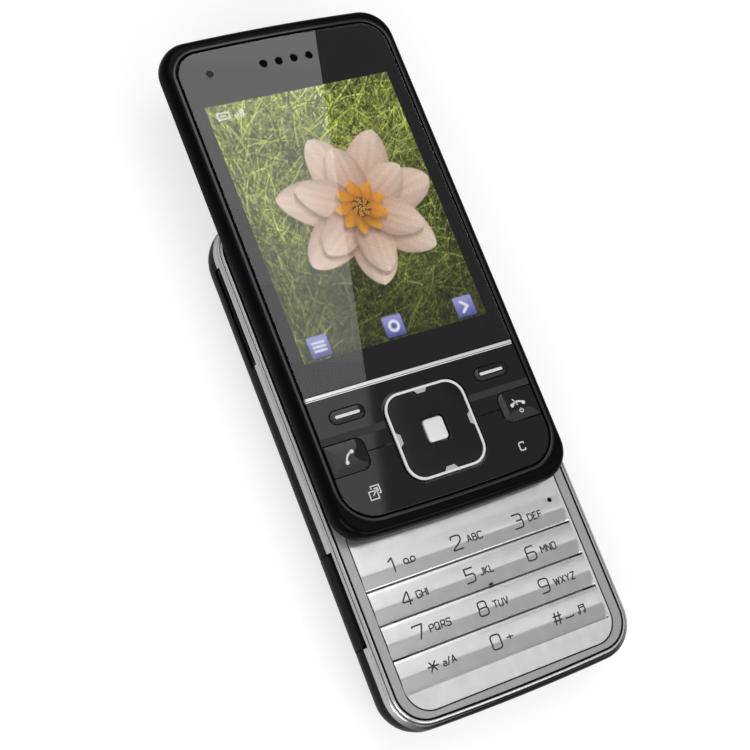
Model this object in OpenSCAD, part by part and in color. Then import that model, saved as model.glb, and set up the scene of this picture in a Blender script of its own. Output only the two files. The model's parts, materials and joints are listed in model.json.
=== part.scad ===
// Slider phone: a keypad half that rests on its back, and a display half that slides over it.
// Millimetres. The origin is the centre of the keypad half's flat back. +X is to the right of
// someone who reads the keys, +Y is towards the earpiece, +Z is out of the front.

/* [Body] */
// Width of the keypad half, its widest point
body_w = 50; // [49:0.5:52]
// Length of each half
body_l = 96; // [95:0.5:98]
// Height of the keypad half, from its back to its front
base_t = 11.45; // [11.4:0.05:11.6]
// Corner radius of the keypad half, seen from the front
body_r = 7.2; // [7:0.1:8]
// Radius of the gentle bow of the two ends
bow_radius = 480; // [400:20:900]
// Height at which the bright side frame meets the dark back shell
frame_z = 9.75; // [9.6:0.05:9.9]

/* [Display half] */
// Width of the display half
slider_w = 47.6; // [47.2:0.1:48]
// Thickness of the display half
slider_t = 4.25; // [4.25:0.05:4.6]
// Corner radius of the display half
slider_r = 6; // [5.8:0.1:7.6]
// Air between the two halves
slide_gap = 0.3; // [0.25:0.05:0.4]
// How far the display half is pushed up to open the phone
slide_travel = 33; // [30:0.5:34]

/* [Display] */
// Width of the picture area
screen_w = 37.3; // [36:0.1:37.6]
// Height of the picture area
screen_h = 49.8; // [48:0.1:50]
// Middle of the picture, above the middle of the display half
screen_y = 8.9; // [8.5:0.1:9.2]

/* [Keys] */
// Distance from one row of number keys to the next
row_pitch = 6.12; // [6:0.02:6.2]
// Upper edge of the first row of number keys
row_top = -16.6; // [-17:0.1:-16.4]
// Air between two rows of number keys
row_gap = 0.28; // [0.2:0.02:0.4]
// Side of the square navigation key
nav_w = 16.2; // [15.8:0.1:16.4]
// Travel of a number key
key_travel = 0.25; // [0.15:0.05:0.25]

/* [Hidden] */
$fn = 48;
hull_fn = 32;    // rounding of the outlines inside a hull
bow_fn = 360;    // rounding of the two large end arcs
skin = 0.02;     // thickness of the slices that a shell is hulled from
eps = 0.05;      // how far a cutter runs past the face that it cuts

// ---- colours, as the photograph shows them
gloss_black = [0.03, 0.03, 0.035];
plate_black = [0.13, 0.13, 0.14];
satin_silver = [0.80, 0.81, 0.82];
ring_grey = [0.58, 0.59, 0.60];
steel = [0.70, 0.70, 0.69];
board_green = [0.10, 0.32, 0.18];
part_black = [0.10, 0.10, 0.10];
film_white = [0.90, 0.90, 0.88];
gold = [0.80, 0.62, 0.28];

// ---- heights in the keypad half
back_round_w = 6.5;                   // how far the back's rounding reaches in from the side
back_round_h = 8;                     // how far it reaches up
floor_t = 1.2;                        // back shell's floor
wall_t = 1.8;                         // back shell's side wall
low_cavity_top = 4;                   // below this the cavity is narrower, clear of the rounding
board_z = 7;                          // underside of the main board
board_t = 0.8;
front_under = 10.2;                   // underside of the front cover
keypad_board_z = 9;
dome_z = 9.5;                         // underside of the number keys' dome sheet
row_under = 10.25;                    // underside of the rows of number keys
row_crease_z = base_t - 0.05;         // ridge along the middle of each row
pad_half_w = 21.5;                    // half width of the silver keypad panel
row_half_w = 21.05;                   // half width of a row
pad_bottom = -44.9;
pad_top = -9.4;                       // its upper corners lie under the open display half
pad_r = 4.6;
side_inner_w = body_w - 3.2;          // inside width of the bright side frame
rows = 4;
columns = [-12.6, 0, 12.6];

// ---- slide mechanism
shoe_x = 19.5;                        // middle of each guide shoe
shoe_neck = 1.6;
shoe_head = 2.6;
shoe_y = [2, 42];                     // the shoes' ends in the keypad half
plate_slot = 1.9;                     // slot width in the steel rail plate
cover_slot = 2.4;                     // slot width in the back cover
carriage_z = 10.9;                    // underside of the carriage
carriage_t = 0.4;
well_half_w = 16.6;                   // half width of the well that holds the springs and the flex
well_y = [3, 41];
spring_wire = 0.34;
spring_z = base_t - 0.07;             // underside of the springs and of the flex between the halves
pin_r = 0.45;                         // radius of the springs' pins
spring_pin = [6, 4];                  // the moving pin, in the display half's own coordinates
spring_post = [14, 22];               // the fixed post, in the keypad half
flex_t = 0.12;                        // thickness of the flex

// ---- heights in the display half
slider_z = base_t + slide_gap;        // underside
front_z = slider_z + slider_t;        // front face of the window
split_z = slider_z + 1.3;             // where the back cover meets the front housing
rail_z = slider_z + 0.65;             // underside of the rail plate
rail_t = 0.45;
sboard_z = slider_z + 1.75;           // underside of the slider's board
sboard_t = 0.6;
sdome_z = sboard_z + sboard_t;        // underside of the function keys' dome sheet
sdome_t = 0.1;
dome_h = 0.2;
nub_z = sdome_z + sdome_t + dome_h + key_travel + 0.03;
plate_under = front_z - 0.9;          // underside of the function key plates
window_under = front_z - 0.75;
ledge_z = window_under - 0.2;         // ledge of the housing that carries window and key plate
plate_half_w = 21.4;                  // half width of the dark front plate
plate_top = 45;
plate_bottom = -44.7;
plate_r_top = 4.7;
plate_r_bottom = 6.2;
bar_y = -22;                          // middle of the bright bar under the window
bar_h = 0.85;
nav_y = -33.2;
nav_r = 3.5;
nav_gap = 0.35;
nav_tilt_z = sdome_z + 0.6;           // height of the navigation key's rocking axes
seam_y = -33.3;                       // seam between the upper and the lower key plate
soft_x = 14.8;
soft_y = -26.2;
soft_size = [6.8, 2.4];
side_key_y = -33.35;                  // middle of the call and end keys
side_key_h = 5.7;
side_key_in = 13.85;                  // their inner edge
key_gap = 0.15;
key_zone_top = side_key_y + side_key_h / 2 + 0.3;

// ---- camera side, all in the keypad half
lens_pocket_y = [17.3, 42.9];
lens_travel = 12.3;                   // how far the lens cover slides to bare the lens
lens_cover_y = [lens_pocket_y[0] + 0.3 + lens_travel, lens_pocket_y[1] - 0.3];
lens_floor_top = 1.85;
camera_at = [-6, 36];
flash_at = [8.5, 36];

// ---- left side
flap_y = [-31.1, -14.3];
flap_z = [3.7, 10.75];
flap_pin = [-23.4, 4];                // x and z of the flap's hinge line
flap_pin_r = 0.7;
port_y = [21, 39.5];
port_z = [8.3, 10.4];

// ---- right side
camera_key_y = [-31, -21.5];
zoom_key_y = [22, 38];
side_key_z = [6.9, 8.9];

// Rounded rectangle about the origin.
module rounded(w, l, r) {
  square([w - 2 * r, l], center = true);
  square([w, l - 2 * r], center = true);
  for (x = [-1, 1], y = [-1, 1]) translate([x * (w / 2 - r), y * (l / 2 - r)]) circle(r);
}

// Rounded rectangle whose two ends are gently bowed: the outline of both halves.
module plan(w, l, r) {
  intersection() {
    rounded(w, l, r);
    for (s = [-1, 1]) translate([0, s * (l / 2 - bow_radius)]) circle(bow_radius, $fn = bow_fn);
  }
}

// Rounded bar from x0 to x1 and y0 to y1 with corner radius r.
module patch(x, y, r) {
  translate([(x[0] + x[1]) / 2, (y[0] + y[1]) / 2]) rounded(x[1] - x[0], y[1] - y[0], r);
}

// Box from its low corner to its high corner.
module span(x, y, z) {
  translate([x[0], y[0], z[0]]) cube([x[1] - x[0], y[1] - y[0], z[1] - z[0]]);
}

// Plate of a flat outline between two heights.
module slab(z0, z1) {
  translate([0, 0, z0]) linear_extrude(z1 - z0) children();
}

// Smooth shell: a hull of outlines, each [height, inset] of an outline w by l with radius r.
module shell(w, l, r, slices) {
  hull() for (s = slices)
    translate([0, 0, s[0]]) linear_extrude(skin)
      plan(w - 2 * s[1], l - 2 * s[1], r - s[1], $fn = hull_fn);
}

// How far the keypad half's outline is drawn in at height z by the rounding of its back.
function back_inset(z) = z >= back_round_h ? 0 :
  back_round_w * (1 - sqrt(1 - pow((back_round_h - z) / back_round_h, 2)));

// Places a child in the display half, which is drawn at its own centre.
module on_slider() {
  translate([0, slide_travel, 0]) children();
}

// Metal snap domes at a list of places, on a film.
module domes(places, z, r) {
  for (p = places) translate([p[0], p[1], z])
    intersection() {
      translate([0, 0, dome_h - r * r / (2 * dome_h)]) sphere(r * r / (2 * dome_h));
      cylinder(h = 2 * dome_h, r = r);
    }
}

function row_y(i) = row_top - (i + 0.5) * row_pitch;   // middle of row i

// ===================================================== keypad half: back and inside

// The outer form of the dark lower part.
module back_form() {
  shell(body_w, body_l, body_r,
    [for (z = [0, 0.2, 0.6, 1.2, 2.2, 3.8, 6]) [z, back_inset(z)], [frame_z - skin - 0.05, 0]]);
}

module flap_cutter(grow) {
  span([-body_w, -body_w / 2 + 1.3 + grow], flap_y + [-grow, grow], flap_z + [-grow, grow]);
  translate([flap_pin[0], flap_y[0] - grow, flap_pin[1]]) rotate([-90, 0, 0])
    cylinder(h = flap_y[1] - flap_y[0] + 2 * grow, r = flap_pin_r + 0.15 + grow);
}

module back_shell() color(gloss_black) difference() {
  back_form();
  // the hollow for the battery and the boards, stepped to follow the rounded back, with a
  // thicker floor left standing over the lens cover's track
  difference() {
    slab(floor_t, low_cavity_top + eps) plan(40, 86, 4);
    slab(0, lens_floor_top) patch([-18.5, 18.5], [16.8, 44], 1);
  }
  slab(low_cavity_top, base_t) plan(body_w - 2 * wall_t, body_l - 2 * wall_t, body_r - wall_t);
  battery_bay();
  lens_pocket();
  // windows for the camera, the flash and the loudspeaker
  slab(-eps, lens_floor_top + eps) patch([-13.1, 13.1], [31, 41], 2);
  for (i = [0:4]) span([8 + 2 * i, 9 + 2 * i], [11, 15.5], [-eps, floor_t + eps]);
  flap_cutter(0.15);
  span([-body_w, 0], port_y + [-0.1, 0.1], [port_z[0] - 0.1, base_t]);
  span([23, body_w], camera_key_y + [-0.15, 0.15], side_key_z + [-0.15, 0.15]);
  span([23, body_w], zoom_key_y + [-0.15, 0.15], side_key_z + [-0.15, 0.15]);
}

// The opening that the battery cover closes.
module battery_bay() {
  slab(-eps, floor_t + eps) patch([-17.5, 17.5], [-41.2, 7.2], 2);
}

// The shallow track of the sliding lens cover, with a groove along each side.
module lens_pocket() {
  slab(-eps, 1.05) patch([-15.7, 15.7], lens_pocket_y, 1.5);
  span([-16.9, 16.9], lens_pocket_y + [1.5, -1.5], [0.5, 1.05]);
}

module battery_cover() color(gloss_black) {
  slab(0, floor_t - 0.15) patch([-17.35, 17.35], [-41.05, 7.05], 1.9);
  // ribs that press on the battery
  for (y = [-30, -17, -4]) span([-12, 12], [y, y + 0.8], [floor_t - 0.15, floor_t]);
}

module battery() color(part_black) slab(1.35, 6.2) patch([-16.8, 16.8], [-40.4, 2.4], 1.6);

module battery_contacts() {
  color(part_black) span([-6, 4], [4.2, 7], [2.4, 6.95]);
  color(gold) for (x = [-4.8, -1.8, 1.2]) span([x, x + 1.2], [2.6, 4.2], [3.2, 5.2]);
}

module sim_holder() color(steel) difference() {
  span([-13, 2], [-22, -8], [6.3, 6.95]);
  span([-12.5, 1.5], [-22 - eps, -8.4], [6.45, 6.8]);
}

module main_board() color(board_green) difference() {
  slab(board_z, board_z + board_t) plan(43.2, 91.4, 5);
  for (p = base_screw_places) translate([p[0], p[1], board_z - 1]) cylinder(h = 3, r = 0.75);
}

module shield_cans() color(steel) {
  span([-17, 17], [14.5, 38], [board_z + board_t, 8.9]);
  span([-19.5, 19.5], [-11.5, 13.5], [board_z + board_t, 8.9]);
  span([-7, 19.5], [-40, -13], [board_z + board_t, 8.7]);
}

module card_reader() color(steel) difference() {
  span([-21.4, -8], [-30, -16], [board_z + board_t, 8.95]);
  span([-22, -9], [-28.6, -17.4], [8.05, 8.7]);
}

module connector_port() color(part_black) difference() {
  span([-24.55, -21.9], port_y, port_z);
  // the socket, with its contact tongue left standing
  difference() {
    span([-26, -22.6], port_y + [0.8, -0.8], port_z + [0.4, -0.4]);
    span([-24, -22.6], port_y + [2, -2], port_z + [0.85, -0.85]);
  }
}

module loudspeaker() color(part_black) slab(1.55, 4.6) patch([7, 19.2], [9.6, 16.6], 1);

module speaker_grille() color(steel) span([7.2, 19], [9.8, 16.4], [1.25, 1.4]);

module vibration_motor() color(steel) {
  translate([15, 20, 4.6]) rotate([-90, 0, 0]) cylinder(h = 8, r = 1.9);
  translate([15, 28.3, 4.6]) rotate([-90, 0, 0]) intersection() {
    cylinder(h = 2.4, r = 1.9);
    span([-2, 2], [-0.2, 2], [0, 3]);
  }
  translate([15, 27.9, 4.6]) rotate([-90, 0, 0]) cylinder(h = 0.5, r = 0.4);
}

module camera_module() color(part_black) translate([camera_at[0], camera_at[1], 0]) {
  span([-5, 5], [-5, 5], [3.2, 6.9]);
  translate([0, 0, 2]) cylinder(h = 1.3, r = 3.6);
}

module camera_window() color([0.1, 0.12, 0.15]) slab(1.15, lens_floor_top) patch([-13, 13], [31.1, 40.9], 1.9);

module flash_led() color(film_white) translate([flash_at[0], flash_at[1], 0]) {
  span([-2.5, 2.5], [-2, 2], [1.95, 6.9]);
}

module antenna_carrier() color(part_black) difference() {
  span([-16, 16], [-42.8, -41.3], [1.3, 6.8]);
  span([-12, 12], [-44, -40], [3, 5]);
}

module microphone() color(steel) translate([18.7, -17.9, board_z + board_t + 0.95])
  cylinder(h = 1.0, r = 1.1);

module side_switch_board() {
  color(gold) span([21.75, 21.95], [-32, 39], [6.6, 6.95]);
  color(gold) for (y = [-26.25, 25, 35]) span([21.75, 22], [y - 2, y + 2], [6.9, 9]);
}

module keypad_board() color(board_green) slab(keypad_board_z, dome_z)
  patch([-17.4, 17.4], [-41.6, -14.5], 1);

module keypad_dome_sheet() color(film_white) {
  slab(dome_z, dome_z + 0.1) patch([-17.2, 17.2], [-41.4, -14.7], 1);
  domes([for (i = [0:rows - 1], x = columns) [x, row_y(i)]], dome_z + 0.1 - 0.02, 2);
}

// ===================================================== keypad half: front

top_screws = [[-19.6, 42], [19.6, 42]];
chin_screws = [[-17.5, -43], [17.5, -43]];
base_screw_places = concat(top_screws, chin_screws);

// Posts that stand on the main board, each with a bore for a screw.
module screw_posts(places, z1) {
  for (p = places) slab(board_z + board_t, z1) translate([p[0], p[1]]) circle(1.5);
}

module screw_bores(places) {
  for (p = places) translate([p[0], p[1], board_z]) cylinder(h = 3.6, r = 0.64);
}

module keypad_window() patch([-pad_half_w - 0.1, pad_half_w + 0.1], [pad_bottom - 0.1, pad_top + 0.1],
  pad_r + 0.1);

module front_cover() color(ring_grey) difference() {
  union() {
    slab(front_under, base_t - 0.05) plan(side_inner_w - 0.2, body_l - 3.4, body_r - 1.7);
    screw_posts(top_screws, front_under + eps);
  }
  slab(front_under - eps, base_t) keypad_window();
  // seat of the carriage, and the well under it
  slab(carriage_z, base_t) patch([-22.1, 22.1], [-0.1, 44.1], 1);
  slab(carriage_z - 0.3, base_t) patch([-well_half_w, well_half_w], well_y, 1);
  span([-5, 5], [6, 8], [front_under - eps, base_t]);
  span([-body_w, -21.8], port_y + [-0.1, 0.1], [front_under - eps, port_z[1] + 0.1]);
  screw_bores(top_screws);
}

module keypad_panel() color(satin_silver) difference() {
  union() {
    slab(row_under, base_t - 0.1) patch([-pad_half_w, pad_half_w], [pad_bottom, pad_top], pad_r);
    screw_posts(chin_screws, row_under + eps);
  }
  screw_bores(chin_screws);
  span([-row_half_w - 0.1, row_half_w + 0.1],
    [row_top - rows * row_pitch - row_gap / 2, row_top + row_gap / 2], [row_under - eps, base_t]);
}

module side_frame() color(satin_silver) difference() {
  shell(body_w, body_l, body_r, [[frame_z, 0], [frame_z + 0.8, 0.15], [base_t - 0.35, 0.5],
    [base_t - skin, 0.85]]);
  slab(frame_z - eps, base_t + eps) plan(side_inner_w, body_l - 3.2, body_r - 1.6);
  flap_cutter(0.15);
  span([-body_w, 0], port_y + [-0.1, 0.1], [frame_z - eps, port_z[1] + 0.1]);
}

// Guide plate that the rails run on: two tee-shaped shoes stand up through the rail slots.
module slide_carriage() color(steel) difference() {
  union() {
    slab(carriage_z, carriage_z + carriage_t) patch([-22, 22], [0, 44], 0.9);
    for (s = [-1, 1]) translate([s * shoe_x, 0, 0]) {
      span([-shoe_neck / 2, shoe_neck / 2], shoe_y, [carriage_z, rail_z + rail_t + 0.1]);
      span([-shoe_head / 2, shoe_head / 2], shoe_y, [rail_z + rail_t + 0.08, rail_z + rail_t + 0.45]);
    }
    for (s = [-1, 1]) translate([s * spring_post[0], spring_post[1], carriage_z])
      cylinder(h = spring_z + spring_wire - carriage_z, r = pin_r);
  }
  // slot that lets the flex through
  span([-5, 5], [6, 8], [carriage_z - eps, base_t]);
}

module base_screws() color(steel) for (p = base_screw_places) translate([p[0], p[1], 0]) {
  translate([0, 0, board_z - 0.75]) cylinder(h = 0.72, r = 1.2);
  translate([0, 0, board_z - 0.1]) cylinder(h = 3.5, r = 0.6);
}

// A row of three number keys: a bar with a crease along its middle and a nub under each key.
module key_row(i) color(satin_silver) {
  half = row_pitch / 2 - row_gap / 2;
  for (x = columns) translate([x, row_y(i), row_under - 0.15]) cylinder(h = 0.3, r = 1);
  difference() {
    translate([-row_half_w, row_y(i), 0]) rotate([90, 0, 90]) linear_extrude(2 * row_half_w)
      polygon([[-half, row_under], [half, row_under], [half, base_t - 0.3], [half - 0.35, base_t - 0.15],
        [0.2, row_crease_z], [-0.4, row_crease_z - 0.02], [-half + 0.8, base_t - 0.4],
        [-half, base_t - 0.65]]);
    if (i == 0) translate([18.7, -17.9, row_under - eps]) cylinder(h = 2, r = 0.45);
  }
}

// ===================================================== keypad half: what moves on its sides

module lens_cover() color(steel) difference() {
  union() {
    slab(0.1, 0.92) patch([-15.5, 15.5], lens_cover_y, 1.3);
    span([-16.7, 16.7], lens_cover_y + [1.6, -1.6], [0.6, 0.92]);
  }
  // thumb grip
  for (i = [0:4]) span([-6, 6], [31.4 + 0.9 * i, 31.8 + 0.9 * i], [0, 0.35]);
}

module card_cover() color(gloss_black) {
  difference() {
    intersection() {
      union() {
        back_form();
        shell(body_w, body_l, body_r, [[frame_z - 0.2, 0], [frame_z + 0.8, 0.15], [11.2, 0.55]]);
      }
      span([-body_w, -body_w / 2 + 1.25], flap_y, [flap_pin[1] + 0.2, flap_z[1]]);
    }
    // finger nick at the top edge
    translate([-25.3, (flap_y[0] + flap_y[1]) / 2, 10.4]) rotate([0, 90, 0]) cylinder(h = 0.8, r = 1.2);
  }
  translate([flap_pin[0], flap_y[0], flap_pin[1]]) rotate([-90, 0, 0])
    cylinder(h = flap_y[1] - flap_y[0], r = flap_pin_r);
}

module side_button(y, reach) color(satin_silver) {
  span([22.8, reach], y, side_key_z);
  span([22.55, 22.85], y + [-0.6, 0.6], side_key_z + [-0.3, 0.3]);
}

module camera_key() side_button(camera_key_y, 25.25);

module zoom_key() side_button(zoom_key_y, 25.2);

// ===================================================== display half

slider_slices_back = [[slider_z, 1.5], [slider_z + 0.3, 0.75], [slider_z + 0.75, 0.2],
  [split_z - 0.05 - skin, 0]];
slider_slices_front = [[split_z, 0], [front_z - 1.5, 0.03], [front_z - 0.9, 0.25],
  [front_z - 0.45, 0.65], [front_z - 0.15, 1.15], [front_z - skin - 0.05, 1.6]];

// The dark front plate's outline: tighter corners at the top, rounder ones at the bottom.
module plate_outline(grow) {
  w = plate_half_w + grow;
  intersection() {
    union() {
      patch([-w, w], [plate_bottom - grow, plate_top - 20], plate_r_bottom + grow);
      patch([-w, w], [plate_bottom + 20, plate_top + grow], plate_r_top + grow);
    }
    translate([0, plate_top + grow - bow_radius]) circle(bow_radius, $fn = bow_fn);
    translate([0, plate_bottom - grow + bow_radius]) circle(bow_radius, $fn = bow_fn);
  }
}

slider_screw_places = [for (x = [-11, 11], y = [-45.2, 45.2]) [x, y]];

module slider_front_housing() color(gloss_black) on_slider() difference() {
  shell(slider_w, body_l, slider_r, slider_slices_front);
  slab(ledge_z, front_z + eps) plate_outline(0.25);
  // the keys that move down past the ledge have it cut away under them
  slab(ledge_z - 0.5, front_z) intersection() {
    plate_outline(0.25);
    translate([-30, plate_bottom - 5]) square([60, key_zone_top - plate_bottom + 5]);
  }
  slab(split_z - eps, front_z) patch([-21, 21], [-44, 44], 2);
  for (p = slider_screw_places) translate([p[0], p[1], split_z - 1]) cylinder(h = 2.4, r = 0.64);
}

module slider_back_cover() color(gloss_black) on_slider() difference() {
  shell(slider_w, body_l, slider_r, slider_slices_back);
  slab(rail_z - 0.05, split_z + eps) patch([-22.1, 22.1], [-43.9, 43.9], 3.2);
  rail_slots(cover_slot, 0.3, slider_z - eps, rail_z);
  // way through for the spring pins and the flex
  for (s = [-1, 1]) translate([s * spring_pin[0], spring_pin[1], slider_z - 1]) cylinder(h = 2, r = 1);
  span([-5, 5], [-12.2, -10.8], [slider_z - eps, rail_z]);
  for (p = slider_screw_places) translate([p[0], p[1], slider_z - 1]) {
    cylinder(h = 4, r = 0.64);
    cylinder(h = 1.6, r = 1);
  }
}

// The two long slots that the shoes run in, lengthened by the slide's travel.
module rail_slots(w, more, z0, z1) {
  for (s = [-1, 1]) translate([s * shoe_x, 0, 0])
    span([-w / 2, w / 2], [shoe_y[0] - slide_travel - 0.5 - more, shoe_y[1] + 0.5 + more], [z0, z1]);
}

module rail_plate() color(steel) on_slider() {
  difference() {
    slab(rail_z, rail_z + rail_t) patch([-21.9, 21.9], [-36, 43.6], 3);
    rail_slots(plate_slot, 0, rail_z - eps, rail_z + 1);
    span([-5, 5], [-12.2, -10.8], [rail_z - eps, rail_z + 1]);
  }
  for (s = [-1, 1]) translate([s * spring_pin[0], spring_pin[1], spring_z])
    cylinder(h = rail_z - spring_z, r = pin_r);
}

module slider_screws() color(steel) on_slider() for (p = slider_screw_places) translate([p[0], p[1], 0]) {
  translate([0, 0, slider_z + 0.1]) cylinder(h = 0.48, r = 0.9);
  translate([0, 0, slider_z + 0.5]) cylinder(h = 2, r = 0.6);
}

module front_window() color([0.05, 0.05, 0.06, 0.8]) on_slider() difference() {
  slab(window_under, front_z) intersection() {
    plate_outline(0);
    translate([-30, bar_y + bar_h / 2 + 0.1]) square([60, 80]);
  }
  for (i = [0:3]) translate([(i - 1.5) * 3.13, 40.3, window_under - eps]) cylinder(h = 2, r = 0.7);
}

module window_gasket() color(part_black) on_slider() difference() {
  slab(ledge_z, window_under) intersection() {
    plate_outline(-0.15);
    translate([-30, bar_y + bar_h / 2 + 0.1]) square([60, 80]);
  }
  slab(ledge_z - eps, front_z) {
    patch([-screen_w / 2 - 0.5, screen_w / 2 + 0.5],
      [screen_y - screen_h / 2 - 0.5, screen_y + screen_h / 2 + 0.5], 0.3);
    patch([-6.2, 6.2], [38.8, 41.8], 1.2);
    translate([-15.9, 39.9]) square([2.6, 2.2], center = true);
  }
}

module display_panel() color([0.35, 0.5, 0.3]) on_slider()
  slab(front_z - 1.85, ledge_z - 0.05) patch([-19.5, 19.5], [-18.4, 35.6], 0.5);

module backlight() color(film_white) on_slider()
  slab(front_z - 2.5, front_z - 1.9) patch([-19.5, 19.5], [-18.4, 35.6], 0.5);

module display_frame() color(steel) on_slider() difference() {
  slab(front_z - 2.6, ledge_z - 0.05) patch([-20.4, 20.4], [-19.3, 36.5], 1);
  slab(front_z - 2.52, front_z) patch([-19.6, 19.6], [-18.5, 35.7], 0.5);
}

module earpiece_speaker() color(part_black) on_slider()
  slab(front_z - 2.5, front_z - 1.1) patch([-6.2, 6.2], [37.2, 43.6], 1.2);

module earpiece_mesh() color(steel) on_slider()
  slab(front_z - 1, front_z - 0.8) patch([-6, 6], [39, 41.6], 1.2);

module light_sensor() color(part_black) on_slider() translate([-15.9, 39.9, 0])
  span([-1.2, 1.2], [-1, 1], [front_z - 1.4, front_z - 0.8]);

module trim_bar() color(satin_silver) on_slider()
  span([-21.2, 21.2], [bar_y - bar_h / 2, bar_y + bar_h / 2], [ledge_z, front_z + 0.08]);

module nav_square(grow) translate([0, nav_y]) rounded(nav_w + 2 * grow, nav_w + 2 * grow, nav_r + grow);

// Outline of the call key (side -1) or the end key (side 1), its inner edge rounded.
module side_key_outline(side, grow) {
  x = side * [plate_half_w + 2, side_key_in - grow];
  patch([min(x), max(x)], [side_key_y - side_key_h / 2 - grow, side_key_y + side_key_h / 2 + grow],
    1.6 + grow);
}

module soft_outline(side, grow) translate([side * soft_x, soft_y])
  rounded(soft_size[0] + 2 * grow, soft_size[1] + 2 * grow, soft_size[1] / 2 + grow - 0.01);

module upper_key_plate() color(plate_black) on_slider() difference() {
  slab(ledge_z, front_z - 0.05) intersection() {
    plate_outline(0);
    translate([-30, seam_y + 0.1]) square([60, bar_y - bar_h / 2 - 0.1 - seam_y - 0.1]);
  }
  slab(ledge_z - eps, front_z) {
    nav_square(nav_gap);
    for (s = [-1, 1]) {
      side_key_outline(s, key_gap);
      soft_outline(s, key_gap);
    }
  }
}

module lower_key_plate() color(plate_black) on_slider() {
  difference() {
    slab(plate_under, front_z - 0.05) intersection() {
      plate_outline(0);
      translate([-30, plate_bottom - 5]) square([60, seam_y - 0.1 - plate_bottom + 5]);
    }
    slab(plate_under - eps, front_z) {
      nav_square(nav_gap);
      for (s = [-1, 1]) side_key_outline(s, key_gap);
    }
  }
  for (x = [-14.5, 14.5]) nub([x, -40.6]);
}

module slider_board() color(board_green) on_slider()
  slab(sboard_z, sboard_z + sboard_t) patch([-20.6, 20.6], [-43.7, -20.2], 3.5);

function_dome_places = concat(
  [for (a = [0:90:270]) [5.6 * cos(a), nav_y + 5.6 * sin(a)]],
  [[0, nav_y], [-soft_x, soft_y], [soft_x, soft_y], [-17.4, side_key_y], [17.4, side_key_y],
    [-14.5, -40.6], [14.5, -40.6]]);

module function_dome_sheet() color(film_white) on_slider() {
  slab(sdome_z, sdome_z + sdome_t) patch([-20.4, 20.4], [-43.5, -20.4], 3.4);
  domes(function_dome_places, sdome_z + sdome_t - 0.02, 1.6);
}

// Stub under a function key that presses its dome.
module nub(at) translate([at[0], at[1], nub_z]) cylinder(h = plate_under - nub_z + 0.1, r = 0.8);

module soft_key(side) color(plate_black) on_slider() {
  slab(plate_under + 0.02, front_z + 0.2) soft_outline(side, 0);
  nub([side * soft_x, soft_y]);
}

module soft_key_left() soft_key(-1);

module soft_key_right() soft_key(1);

module side_key(side) color(plate_black) on_slider() {
  slab(plate_under + 0.02, front_z + 0.12) intersection() {
    side_key_outline(side, 0);
    plate_outline(0);
  }
  nub([side * 17.4, side_key_y]);
}

module call_key() side_key(-1);

module end_key() side_key(1);

module nav_support() color(part_black) on_slider() slab(nav_tilt_z - 0.1, nav_tilt_z + 0.1)
  difference() {
    translate([0, nav_y]) rounded(13.6, 13.6, 2);
    translate([0, nav_y]) circle(3.4);
  }

module nav_key() color(gloss_black) on_slider() difference() {
  slab(plate_under + 0.05, front_z + 0.25) nav_square(-0.02);
  slab(front_z - 0.1, front_z + 1) difference() {
    nav_square(1);
    nav_square(-0.5);
  }
  slab(plate_under - eps, front_z + 1) translate([0, nav_y]) rounded(4.5, 4.8, 0.9);
}

module nav_ring() color([0.95, 0.95, 0.95]) on_slider() slab(front_z - 0.1, front_z + 0.3) {
  difference() {
    nav_square(-0.02);
    nav_square(-0.5);
  }
}

module select_key() color(satin_silver) on_slider() translate([0, nav_y, 0]) {
  slab(plate_under, front_z + 0.5) rounded(3.9, 4.2, 0.6);
  translate([0, 0, nub_z]) cylinder(h = plate_under - nub_z + 0.1, r = 1.2);
}

// ===================================================== parts that bend as the phone slides

// Flat ring of wire seen from above.
module wire_ring(at, inner_r) translate(at) difference() {
  circle(inner_r + spring_wire);
  circle(inner_r);
}

// Straight stretch of wire between two points, seen from above.
module wire(from, to) {
  way = to - from;
  translate(from) rotate(atan2(way[1], way[0])) translate([0, -spring_wire / 2])
    square([norm(way), spring_wire]);
}

// A pair of flat wire springs: an eye round each pin, and a coil between them.
module assist_springs() color(steel) slab(spring_z, spring_z + spring_wire - 0.04)
  for (s = [-1, 1]) {
    coil = [s * 11.8, 31.4];
    pins = [[s * spring_post[0], spring_post[1]], [s * spring_pin[0], spring_pin[1] + slide_travel]];
    wire_ring(coil, 1.3);
    wire_ring(coil, 1.3 + 0.9 * spring_wire);
    for (end = pins) {
      way = (coil - end) / norm(coil - end);
      wire_ring(end, pin_r + 0.06);
      wire(end + (pin_r + 0.2) * way, coil - 1.45 * way);
    }
  }

// The flex that joins the two halves' boards: up through the carriage, along, and up again.
module flex_cable() color([0.75, 0.45, 0.15]) {
  span([-4.4, 4.4], [6.9, 11], [9, flex_t + 9]);
  span([-4.4, 4.4], [6.9, 6.9 + flex_t], [9, spring_z + 0.1 + flex_t]);
  span([-4.4, 4.4], [6.9, 21.5], [spring_z + 0.1, spring_z + 0.1 + flex_t]);
  span([-4.4, 4.4], [21.5 - flex_t, 21.5], [spring_z + 0.1, slider_z + 1.6]);
}

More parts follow.
